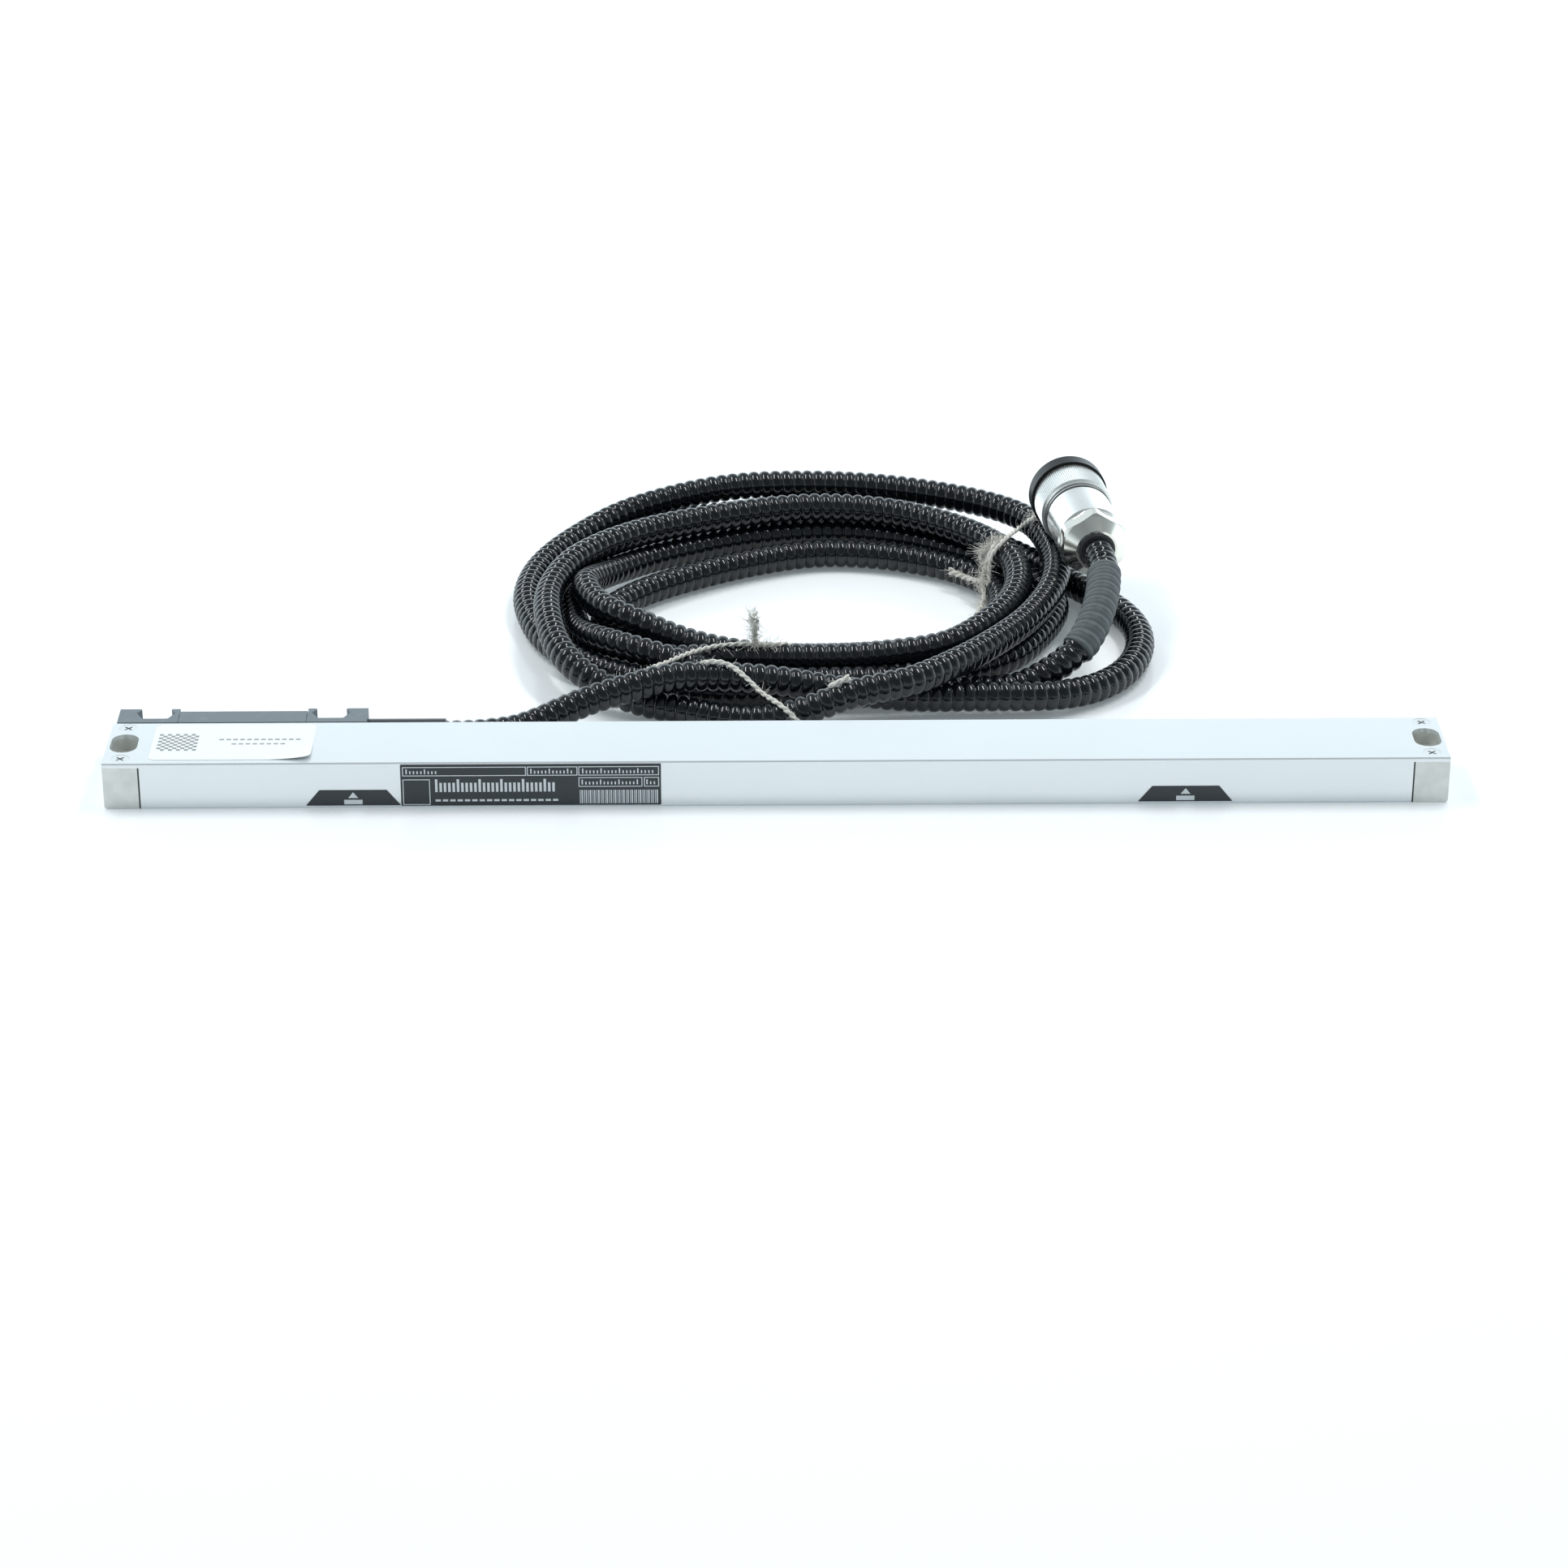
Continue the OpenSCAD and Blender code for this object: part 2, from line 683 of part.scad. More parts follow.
module coupling_blade() {
    color("lightsteelblue") difference() {
        union() {
            blade_bar(blade_a0, block_a0 + blade_root);
            slab([unit_x - lug_x - lug_w / 2, unit_x - lug_x + lug_w / 2],
                [blade_a0, blade_a0 + lug_d - blade_gap], [mid_z, rod_z + lug_h / 2]);
        }
        translate([unit_x - 2 * lug_x, front_y + rod_a, rod_z]) rotate([0, 90, 0])
            cylinder(d = rod_d + 2 * slip, h = 2 * lug_x);
        slab([unit_x - lead_w / 2, unit_x + lead_w / 2],
            [blade_a0 - cut, block_a0 + blade_root + cut],
            [mid_z + blade_t / 2 - lead_t, mid_z + blade_t]);
    }
}

module coupling_rod() {
    color("silver") translate([unit_x - lug_x - lug_w / 2, front_y + rod_a, rod_z])
        rotate([0, 90, 0]) cylinder(d = rod_d, h = 2 * lug_x + lug_w);
}

// Flat lead in the blade's top groove, from the carriage to the connection board
module signal_lead() {
    z1 = mid_z + blade_t / 2;
    color("sienna") slab([unit_x - lead_w / 2, unit_x + lead_w / 2],
        [web_a1, block_a0 + blade_root], [z1 - lead_t, z1]);
}

// ---------------------------------------------------------------- mounting block

// A notch seen from above, its mouth at the back face: V grooves in both sides
module notch_outline() {
    m = notch_mouth / 2;
    v = notch_vee / 2;
    f = notch_floor / 2;
    d = block_d;
    c = notch_corner;
    base = d - notch_depth;
    polygon([[-m, d + cut], [-m, d - ear_r], [-v, d - vee_depth], [-f, base + c],
        [c - f, base], [f - c, base], [f, base + c],
        [v, d - vee_depth], [m, d - ear_r], [m, d + cut]]);
}

// Rounds the corners of the ears beside a notch
module notch_lead_in() {
    m = notch_mouth / 2;
    for (s = [-1, 1]) translate([s * m, block_d]) difference() {
        square(2 * ear_r, center = true);
        translate([s * ear_r, -ear_r]) circle(r = ear_r);
    }
}

module block_outline() {
    difference() {
        translate([-block_l / 2, 0]) square([block_l, block_d]);
        for (s = [-1, 1]) translate([s * (block_l / 2 - notch_inset), 0]) {
            notch_outline();
            notch_lead_in();
        }
        translate([-cover_l / 2, block_d - cover_step]) square([cover_l, cover_step + cut]);
    }
}

module mounting_block() {
    seat_z = block_top - cover_t - gasket_sheet;
    color("slategray") difference() {
        translate([unit_x, front_y + block_a0, block_lift]) linear_extrude(block_h)
            block_outline();
        slab([unit_x - cover_l / 2, unit_x + cover_l / 2], [block_a0 - cut, block_a1],
            [seat_z, block_top + cut]);
        slab([unit_x - room_l / 2, unit_x + room_l / 2], [room_a0, room_a1],
            [block_lift + room_floor, block_top]);
        slab([unit_x + room_l / 2 - channel_over, block_x1 - ferrule_seat], [channel_a0, channel_a1],
            [mid_z - channel_h / 2, mid_z + channel_h / 2]);
        slab([unit_x + room_l / 2 - channel_over, unit_x + room_l / 2], [channel_a0, room_a0 + cut],
            [mid_z - channel_h / 2, mid_z + channel_h / 2]);
        blade_bar(block_a0 - cut, block_a0 + blade_root);
        slab([unit_x - lead_w / 2, unit_x + lead_w / 2], [block_a0, room_a0 + cut],
            [mid_z + blade_t / 2 - lead_t, mid_z + blade_t / 2]);
        translate([block_x1 - ferrule_seat, outlet_y, mid_z]) rotate([0, 90, 0])
            cylinder(r = ferrule_r + slip, h = ferrule_seat + cut);
    }
}

module block_cover() {
    color("slategray") slab([unit_x - cover_l / 2 + tongue_gap, unit_x + cover_l / 2 - tongue_gap],
        [block_a0, cover_a1], [block_top - cover_t, block_top]);
}

module cover_gasket() {
    z1 = block_top - cover_t;
    color("black") difference() {
        slab([unit_x - cover_l / 2 + tongue_gap, unit_x + cover_l / 2 - tongue_gap],
            [block_a0, cover_a1], [z1 - gasket_sheet, z1]);
        slab([unit_x - room_l / 2, unit_x + room_l / 2], [room_a0, room_a1],
            [z1 - gasket_sheet - cut, z1 + cut]);
    }
}

module connection_board() {
    z0 = block_lift + room_floor;
    a0 = room_a0 + room_gap;
    color("darkgreen") slab([unit_x - room_l / 2 + room_gap, unit_x + room_l / 2 - room_gap],
        [a0, a0 + board_t], [z0, z0 + board_h]);
}

module conduit_ferrule() {
    x0 = block_x1 - ferrule_seat;
    color("goldenrod") translate([x0, outlet_y, mid_z]) rotate([0, 90, 0]) difference() {
        cylinder(r = ferrule_r, h = outlet_x1 - cable_seat - x0);
        translate([0, 0, -cut])
            cylinder(r = ferrule_bore_r, h = outlet_x1 - cable_seat - x0 - cut);
    }
}

module outlet_sleeve() {
    color("black") translate([block_x1, outlet_y, mid_z]) rotate([0, 90, 0]) difference() {
        cylinder(d = outlet_d, h = outlet_l);
        translate([0, 0, -cut]) cylinder(r = ferrule_r + slip, h = outlet_l + 2 * cut);
        translate([0, 0, outlet_l - cable_seat])
            cylinder(d = cable_d + 2 * run_gap, h = cable_seat + cut);
    }
}

// ---------------------------------------------------------------- cable

// The lead starts straight out of the outlet
function lead_route() = concat([for (x = [-cable_seat, cable_seat])
    [outlet_x1 + x, outlet_y, mid_z]], lead_points);

// The tail's route runs straight into the connector
function tail_route() = concat(tail_points,
    [for (l = [straight_l, 0]) connector_at - l * connector_axis]);

module cable_lead() {
    color("#202226") tube(lead_route(), 0, len(lead_route()) - 1, cable_d / 2);
}

module cable_loop() {
    color("#202226") tube(loop_points, 0, len(loop_points) - 1, cable_d / 2);
}

module cable_tail() {
    color("#202226") tube(tail_route(), 0, sleeve_first, cable_d / 2);
}

module cable_shrink_sleeve() {
    color("#4a4e52") tube(tail_route(), sleeve_first, sleeve_last, shrink_d / 2);
}

module cable_end() {
    color("#202226") tube(tail_route(), sleeve_last, len(tail_route()) - 1, cable_d / 2);
}

// Outer shape of the coil: a ring with rounded upper edges
module cable_coil() {
    e = coil_edge_r;
    color("#202226") translate([coil_x, coil_y, 0]) rotate_extrude() {
        translate([coil_inner_r, 0]) square([coil_r - coil_inner_r, coil_h - e]);
        translate([coil_inner_r + e, 0]) square([coil_r - coil_inner_r - 2 * e, coil_h]);
        for (r = [coil_inner_r + e, coil_r - e]) translate([r, coil_h - e]) circle(r = e);
    }
}

// ---------------------------------------------------------------- connector

module gland_seal() {
    color("black") at_connector() turned([[0, 0], [seal_r - small_edge, 0], [seal_r, small_edge],
        [seal_r, seal_l], [0, seal_l]]);
}

// A clamp nut: turned body with a cone at the cable side, cut to six flats
module clamp_nut() {
    color("silver") at_connector() difference() {
        intersection() {
            turned([[0, nut_start], [nut_neck_r, nut_start],
                [nut_neck_r + nut_cone[0], nut_start + nut_cone[1]],
                [nut_r, nut_start + nut_shoulder], [nut_r, nut_end - small_edge],
                [nut_r - small_edge, nut_end], [0, nut_end]]);
            translate([0, 0, nut_start])
                cylinder(d = nut_flat / cos(30), h = nut_end - nut_start, $fn = 6);
        }
        translate([0, 0, nut_start - cut]) cylinder(r = seal_r, h = seal_l - nut_start + cut);
    }
}

module connector_barrel() {
    color("gainsboro") at_connector() turned([[0, nut_end], [barrel_r - small_edge, nut_end],
        [barrel_r, nut_end + small_edge], [barrel_r, o_ring_at - o_ring_r],
        [barrel_r - o_ring_r, o_ring_at - o_ring_r], [barrel_r - o_ring_r, o_ring_at + o_ring_r],
        [barrel_r, o_ring_at + o_ring_r], [barrel_r, barrel_step], [nose_r, barrel_step],
        [nose_r, barrel_end], [nose_bore_r, barrel_end], [nose_bore_r, insert_start],
        [0, insert_start]]);
}

module barrel_o_ring() {
    color("black") at_connector() turned([[barrel_r - o_ring_r, o_ring_at - o_ring_r],
        [barrel_r + o_ring_proud / 2, o_ring_at - o_ring_r], [barrel_r + o_ring_proud, o_ring_at],
        [barrel_r + o_ring_proud / 2, o_ring_at + o_ring_r],
        [barrel_r - o_ring_r, o_ring_at + o_ring_r]]);
}

module at_contacts() {
    for (i = [0 : contact_count - 1]) rotate(i * 360 / contact_count)
        translate([contact_circle_r, 0, 0]) children();
}

module connector_insert() {
    color("dimgray") at_connector() difference() {
        translate([0, 0, insert_start])
            cylinder(r = nose_bore_r - slip, h = insert_end - insert_start);
        at_contacts() translate([0, 0, contact_start])
            cylinder(d = contact_d + 2 * slip, h = insert_end);
    }
}

module contact_pins() {
    color("gold") at_connector() at_contacts()
        translate([0, 0, contact_start])
            cylinder(d = contact_d, h = contact_end - contact_start);
}

// Star-shaped section of the knurl
module knurl_outline() {
    step = 360 / ring_flutes;
    polygon([for (i = [0 : ring_flutes - 1]) for (k = [0, 1])
        let (a = (i + k / 2) * step, r = ring_r - k * flute_depth) [r * cos(a), r * sin(a)]]);
}

module coupling_ring() {
    color("gainsboro") at_connector() difference() {
        union() {
            cylinder_from(ring_start, ring_start + collar_l + slip, ring_r - collar_drop);
            translate([0, 0, ring_start + collar_l]) linear_extrude(ring_l - collar_l)
                knurl_outline();
        }
        translate([0, 0, ring_start - cut])
            cylinder(r = nose_r + run_gap, h = ring_l + 2 * cut);
    }
}

module dust_cap() {
    end = ring_start + ring_l;
    r = ring_r + run_gap;
    color("#151515") at_connector() turned([[0, end + cap_plate],
        [r + cap_wall - small_edge, end + cap_plate],
        [r + cap_wall, end + cap_plate - small_edge], [r + cap_wall, end - cap_skirt],
        [r, end - cap_skirt], [r, end], [0, end]]);
}

housing_extrusion();
end_block_left();
end_block_right();
end_gaskets();
end_block_screws();
glass_scale();
scale_bond();
sealing_lip_upper();
sealing_lip_lower();
scanning_carriage();
bearing_pins();
face_bearing_left();
face_bearing_right();
edge_bearing_left();
edge_bearing_right();
light_source();
condenser_lens();
scanning_reticle();
photocell_board();
photocells();
coupling_blade();
coupling_rod();
signal_lead();
mounting_block();
block_cover();
cover_gasket();
connection_board();
conduit_ferrule();
outlet_sleeve();
cable_lead();
cable_coil();
cable_loop();
cable_tail();
cable_shrink_sleeve();
cable_end();
gland_seal();
clamp_nut();
connector_barrel();
barrel_o_ring();
connector_insert();
contact_pins();
coupling_ring();
dust_cap();
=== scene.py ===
"""Sealed linear glass scale: finishes for its parts, its conduit, labels and ties, and a plain stage."""

import json
import math

import bmesh
import bpy
import numpy as np
from mathutils import Matrix, Vector

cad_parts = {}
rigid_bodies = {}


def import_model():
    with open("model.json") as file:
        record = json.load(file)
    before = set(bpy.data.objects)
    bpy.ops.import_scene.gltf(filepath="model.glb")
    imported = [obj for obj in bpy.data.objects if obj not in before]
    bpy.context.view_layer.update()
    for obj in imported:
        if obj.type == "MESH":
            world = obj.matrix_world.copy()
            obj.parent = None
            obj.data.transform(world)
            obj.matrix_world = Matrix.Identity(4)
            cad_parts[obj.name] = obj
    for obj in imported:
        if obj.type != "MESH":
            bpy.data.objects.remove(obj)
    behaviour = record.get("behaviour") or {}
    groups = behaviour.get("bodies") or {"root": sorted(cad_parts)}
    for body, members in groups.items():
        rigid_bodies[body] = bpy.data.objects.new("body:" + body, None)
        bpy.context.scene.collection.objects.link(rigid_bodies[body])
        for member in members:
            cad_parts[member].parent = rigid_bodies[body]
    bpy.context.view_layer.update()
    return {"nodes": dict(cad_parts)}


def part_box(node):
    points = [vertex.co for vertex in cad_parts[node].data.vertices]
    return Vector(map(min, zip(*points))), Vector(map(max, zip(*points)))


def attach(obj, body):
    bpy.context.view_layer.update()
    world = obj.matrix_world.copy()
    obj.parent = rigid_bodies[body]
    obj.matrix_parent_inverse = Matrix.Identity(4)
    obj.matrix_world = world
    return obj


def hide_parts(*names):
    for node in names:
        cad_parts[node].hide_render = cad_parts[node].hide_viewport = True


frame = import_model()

bl_info = {
    "name": "Linear glass scale",
    "version": (1, 0, 0),
    "blender": (4, 5, 0),
    "location": "View3D > Sidebar > Glass Scale",
    "description": "Dresses a sealed linear glass scale with its conduit, labels and ties",
    "category": "Add Mesh",
}

MM = 0.001
BLACK = (0.0, 0.0, 0.0)
WHITE = (1.0, 1.0, 1.0)


# ---------------------------------------------------------------- sizes and colours


def length_prop(name, description, default):
    return bpy.props.FloatProperty(
        name=name, description=description, default=default, min=0.0, unit="LENGTH"
    )


def colour_prop(name, description, default):
    return bpy.props.FloatVectorProperty(
        name=name,
        description=description,
        default=default,
        min=0.0,
        max=1.0,
        size=3,
        subtype="COLOR",
    )


class SCALE_PG_cable(bpy.types.PropertyGroup):
    diameter: length_prop("Diameter", "Outside diameter over the ribs", 0.0096)
    rib_pitch: length_prop("Rib pitch", "Distance from one rib to the next", 0.00367)
    groove: length_prop("Groove depth", "Depth of the groove between two ribs", 0.00094)
    sleeve_diameter: length_prop("Sleeve diameter", "Diameter over the shrunk sleeve", 0.0112)
    twine: length_prop("Twine diameter", "Thickness of the twine of the ties", 0.0016)
    coat: colour_prop("Coat colour", "Colour of the conduit's coat", (0.0035, 0.006, 0.008))
    sleeve: colour_prop("Sleeve colour", "Colour of the shrunk sleeve", (0.10, 0.118, 0.122))
    twine_colour: colour_prop("Twine colour", "Colour of the twine", (0.88, 0.86, 0.79))


class SCALE_PG_housing(bpy.types.PropertyGroup):
    skin: colour_prop("Aluminium", "Colour of the anodised housing", (0.875, 0.91, 0.92))
    block: colour_prop("End blocks", "Colour of the cast end blocks", (0.82, 0.83, 0.795))
    paint: colour_prop("Block paint", "Paint of the mounting block", (0.155, 0.185, 0.205))
    label: colour_prop("Label film", "Colour of the black labels", (0.026, 0.033, 0.038))
    ink: colour_prop("Label print", "Colour of the light print on the labels", (0.80, 0.84, 0.86))
    paper: colour_prop("Paper", "Colour of the paper label", (0.90, 0.93, 0.94))
    label_thickness: length_prop("Label thickness", "Thickness of the label film", 0.00012)


class SCALE_PG_stage(bpy.types.PropertyGroup):
    floor: colour_prop("Floor", "Colour of the floor", (0.95, 0.97, 0.98))
    floor_size: length_prop("Floor size", "Length of the floor's side", 16.0)
    level: bpy.props.FloatProperty(
        name="Light level", description="Level of the lamps and the sky", default=1.0, min=0.0
    )


# ---------------------------------------------------------------- shader sums


class Wire:
    """One shader value, on which sums are written as plain arithmetic."""

    def __init__(self, recipe, socket):
        self.recipe = recipe
        self.socket = socket

    def sum(self, operation, *terms):
        return self.recipe.add(
            "ShaderNodeMath", {"operation": operation}, dict(enumerate(terms))
        )

    def __add__(self, other):
        return self.sum("ADD", self, other)

    def __radd__(self, other):
        return self.sum("ADD", other, self)

    def __sub__(self, other):
        return self.sum("SUBTRACT", self, other)

    def __rsub__(self, other):
        return self.sum("SUBTRACT", other, self)

    def __mul__(self, other):
        return self.sum("MULTIPLY", self, other)

    def __rmul__(self, other):
        return self.sum("MULTIPLY", other, self)

    def __pow__(self, other):
        return self.sum("POWER", self, other)


class Recipe:
    """The nodes of one finish on its Principled shader, or those of the sky on its background."""

    def __init__(self, name, sky=False):
        self.material = bpy.data.worlds.new(name) if sky else bpy.data.materials.new(name)
        self.material.use_nodes = True
        self.tree = self.material.node_tree
        self.shader = self.tree.nodes["Background" if sky else "Principled BSDF"]

    def feed(self, socket, value):
        if isinstance(value, Wire):
            self.tree.links.new(value.socket, socket)
        else:
            socket.default_value = value

    def add(self, kind, settings=None, sockets=None, output=0):
        node = self.tree.nodes.new(kind)
        for name, value in (settings or {}).items():
            if name == "stops":
                ramp = node.color_ramp
                while len(ramp.elements) < len(value):
                    ramp.elements.new(1.0)
                for element, (place, level) in zip(ramp.elements, value):
                    element.position = place
                    element.color = (level, level, level, 1.0)
            else:
                setattr(node, name, value)
        for name, value in (sockets or {}).items():
            self.feed(node.inputs[name], value)
        return Wire(self, node.outputs[output])

    def mix(self, factor, first, second):
        """A colour between two colours."""
        full = [c if isinstance(c, Wire) else (*c, 1.0) for c in (first, second)]
        return self.add(
            "ShaderNodeMix", {"data_type": "RGBA"}, {0: factor, 6: full[0], 7: full[1]}, 2
        )

    def place(self, stretch=(1.0, 1.0, 1.0), uv=None):
        """Where a pattern lies: on the object, or on one of its UV maps."""
        if uv:
            spot = self.add("ShaderNodeUVMap", {"uv_map": uv})
        else:
            spot = self.add("ShaderNodeTexCoord", output=3)
        return self.add("ShaderNodeMapping", {}, {"Vector": spot, "Scale": stretch})

    def grain(self, place, scale, detail=3.0, roughness=0.55):
        return self.add(
            "ShaderNodeTexNoise",
            {},
            {"Vector": place, "Scale": scale, "Detail": detail, "Roughness": roughness},
        )

    def ramp(self, value, stops):
        return self.add("ShaderNodeValToRGB", {"stops": stops}, {0: value})

    def crest(self):
        """How near a spot is to the crest of its rib, from 0 in the groove to 1."""
        along = self.add("ShaderNodeSeparateXYZ", {}, {0: self.place(uv="lay")})
        turn = along.sum("FRACT", along)
        return 1.0 - turn.sum("ABSOLUTE", turn * 2.0 - 1.0) ** 3.0

    def path(self, kind):
        """Whether the light path is of this kind, from 0 to 1."""
        return self.add("ShaderNodeLightPath", output=kind)

    def relief(self, height, strength, distance):
        return self.add(
            "ShaderNodeBump", {}, {"Height": height, "Strength": strength, "Distance": distance}
        )

    def finish(self, **sockets):
        """Sets the shader's sockets, whose names are written with _ for a space."""
        for name, value in sockets.items():
            self.feed(self.shader.inputs[name.replace("_", " ")], value)
        return self.material


def shade(colour, by):
    """The colour times a number, never past white."""
    return tuple(min(1.0, c * by) for c in colour)


# ---------------------------------------------------------------- finishes


def anodised_skin(colour):
    """Satin anodised aluminium, drawn along its length."""
    r = Recipe("anodised_skin")
    drawn = r.grain(r.place((6.0, 900.0, 900.0)), 1.0, 4.0, 0.6)
    cloud = r.grain(r.place(), 28.0, 3.0)
    speck = r.ramp(r.grain(r.place(), 2600.0, 2.0), [(0.70, 0.0), (0.80, 1.0)])
    tone = r.mix(cloud, shade(colour, 0.955), colour)
    tone = r.mix(speck * 0.25, tone, shade(colour, 0.72))
    return r.finish(
        Base_Color=tone,
        Metallic=0.55,
        Roughness=0.11 + drawn * 0.06 + cloud * 0.05,
        Normal=r.relief(drawn, 0.05, 0.00004),
    )


def cast_alloy(colour):
    """Die-cast alloy with a fine skin and a few dull spots."""
    r = Recipe("cast_alloy_skin")
    fine = r.grain(r.place(), 1800.0, 4.0)
    cloud = r.ramp(r.grain(r.place(), 140.0, 3.0), [(0.42, 0.0), (0.62, 1.0)])
    tone = r.mix(cloud, shade(colour, 0.86), colour)
    return r.finish(
        Base_Color=tone,
        Metallic=0.55,
        Roughness=0.40 + cloud * 0.12,
        Normal=r.relief(fine, 0.10, 0.00006),
    )


def turned_metal(name, colour, roughness, grain_scale=1200.0, wear=0.5):
    """A machined or plated metal with fine marks and a little tarnish."""
    r = Recipe(name)
    marks = r.grain(r.place((1.0, 1.0, 5.0)), grain_scale, 3.0)
    tarnish = r.ramp(r.grain(r.place(), 90.0, 4.0), [(0.45, 0.0), (0.75, 1.0)])
    tone = r.mix(tarnish * wear, colour, shade(colour, 0.72))
    return r.finish(
        Base_Color=tone,
        Metallic=1.0,
        Roughness=roughness + marks * 0.06 + tarnish * 0.08,
        Normal=r.relief(marks, 0.05, 0.00003),
    )


def rubber(name, colour, roughness=0.6):
    r = Recipe(name)
    fine = r.grain(r.place(), 2400.0, 3.0)
    bloom = r.grain(r.place(), 160.0, 3.0)
    tone = r.mix(bloom, colour, tuple(c + 0.02 for c in colour))
    return r.finish(
        Base_Color=tone, Roughness=roughness + fine * 0.15, Normal=r.relief(fine, 0.15, 0.00005)
    )


def moulded(name, colour, roughness=0.35, gloss=0.5):
    """Moulded plastic with a faint orange-peel surface."""
    r = Recipe(name)
    peel = r.grain(r.place(), 900.0, 2.0)
    smear = r.grain(r.place(), 70.0, 4.0)
    tone = r.mix(smear, shade(colour, 0.85), colour)
    return r.finish(
        Base_Color=tone,
        Roughness=roughness + smear * 0.12,
        Specular_IOR_Level=gloss,
        Normal=r.relief(peel, 0.08, 0.00004),
    )


def block_paint(colour):
    """Fine textured stoving paint, rubbed a little lighter in places."""
    r = Recipe("block_paint_coat")
    fine = r.grain(r.place(), 2200.0, 4.0)
    rub = r.ramp(r.grain(r.place(), 220.0, 4.0), [(0.55, 0.0), (0.78, 1.0)])
    tone = r.mix(rub * 0.5, colour, shade(colour, 1.5))
    return r.finish(
        Base_Color=tone, Roughness=0.40 + fine * 0.12, Normal=r.relief(fine, 0.16, 0.00006)
    )


def graduated_glass():
    """Clear glass with the fine bars of the measuring track."""
    r = Recipe("graduated_glass")
    bars = r.add("ShaderNodeTexWave", {"bands_direction": "X"}, {"Vector": r.place(), "Scale": 900.0})
    track = r.ramp(bars, [(0.45, 0.0), (0.55, 1.0)])
    tone = r.mix(track, (0.10, 0.13, 0.14), (0.80, 0.90, 0.90))
    return r.finish(Base_Color=tone, Roughness=0.06 + track * 0.1, Alpha=0.85 - track * 0.5)


def clear_lens():
    r = Recipe("clear_lens")
    haze = r.grain(r.place(), 300.0, 3.0)
    tone = r.mix(haze, (0.82, 0.90, 0.92), (0.92, 0.96, 0.97))
    return r.finish(Base_Color=tone, Roughness=0.03 + haze * 0.05, Alpha=0.55)


def circuit_board():
    """Green solder resist with copper tracks showing through."""
    r = Recipe("circuit_board_resist")
    lines = r.add("ShaderNodeTexBrick", {}, {
        "Vector": r.place(),
        "Scale": 420.0,
        "Mortar Size": 0.06,
        "Color1": (0.0, 0.0, 0.0, 1.0),
        "Color2": (0.0, 0.0, 0.0, 1.0),
        "Mortar": (1.0, 1.0, 1.0, 1.0),
    })
    tone = r.mix(lines, (0.015, 0.12, 0.05), (0.05, 0.24, 0.10))
    return r.finish(Base_Color=tone, Roughness=0.32, Normal=r.relief(lines, 0.3, 0.00004))


def cable_coat(colour):
    """Glossy conduit coat: painted shade darkens the grooves, which are also duller, with a faint bloom
    and fine scuffs.
    """
    r = Recipe("cable_coat_gloss")
    crest = r.crest()
    bloom = r.ramp(r.grain(r.place(), 60.0, 4.0), [(0.40, 0.0), (0.70, 1.0)])
    scuff = r.ramp(r.grain(r.place((1.0, 1.0, 3.0)), 900.0, 3.0), [(0.62, 0.0), (0.74, 1.0)])
    # Painted shade: the grooves between the ribs are darkened to half the coat's colour.
    tone = r.mix(crest, shade(colour, 0.5), colour)
    tone = r.mix(bloom * 0.5, tone, shade(colour, 1.6))
    tone = r.mix(scuff * crest * 0.10, tone, (0.08, 0.09, 0.10))
    return r.finish(
        Base_Color=tone,
        Roughness=0.19 - crest * 0.12 + bloom * 0.03 + scuff * 0.08,
        Normal=r.relief(r.grain(r.place(), 500.0, 2.0), 0.08, 0.00006),
    )


def sleeve_coat(colour):
    """Matt shrunk sleeve, with painted shade darkening the grooves between its ribs."""
    r = Recipe("shrink_sleeve_matt")
    crest = r.crest()
    streak = r.grain(r.place(), 420.0, 4.0)
    # Painted shade: the grooves are darkened to about a fifth of the sleeve's colour.
    tone = r.mix(crest, shade(colour, 0.22), colour)
    tone = r.mix(streak * 0.4, tone, shade(colour, 1.3))
    return r.finish(
        Base_Color=tone, Roughness=0.48 + streak * 0.12, Normal=r.relief(streak, 0.12, 0.00006)
    )


def twine_fibre(colour):
    """Loose two-ply twine: pale fibres, with painted shade in the gaps between the plies."""
    r = Recipe("twine_fibre")
    fibre = r.grain(r.place(), 1500.0, 5.0, 0.7)
    ply = r.add("ShaderNodeTexWave", {"bands_direction": "DIAGONAL"}, {
        "Vector": r.place(),
        "Scale": 260.0,
        "Distortion": 3.0,
        "Detail": 2.0,
        "Detail Scale": 2.0,
    })
    tone = r.mix(fibre, shade(colour, 0.7), shade(colour, 1.15))
    # Painted shade: the gaps between the plies are darkened.
    tone = r.mix(ply * 0.2, tone, shade(colour, 0.7))
    return r.finish(
        Base_Color=tone,
        Roughness=0.95,
        Normal=r.relief(fibre * 0.7 + ply * 0.3, 0.6, 0.0003),
    )


def label_film(name, colour, roughness=0.38):
    r = Recipe(name)
    fine = r.grain(r.place(), 1500.0, 3.0)
    wear = r.ramp(r.grain(r.place(), 260.0, 5.0), [(0.60, 0.0), (0.72, 1.0)])
    tone = r.mix(wear * 0.2, colour, tuple(min(1.0, c * 1.4 + 0.01) for c in colour))
    return r.finish(
        Base_Color=tone, Roughness=roughness + wear * 0.1, Normal=r.relief(fine, 0.05, 0.00003)
    )


def paper(colour):
    r = Recipe("label_paper")
    fibre = r.grain(r.place(), 1300.0, 5.0, 0.65)
    tone = r.mix(fibre, shade(colour, 0.96), colour)
    return r.finish(Base_Color=tone, Roughness=0.55, Normal=r.relief(fibre, 0.12, 0.00004))


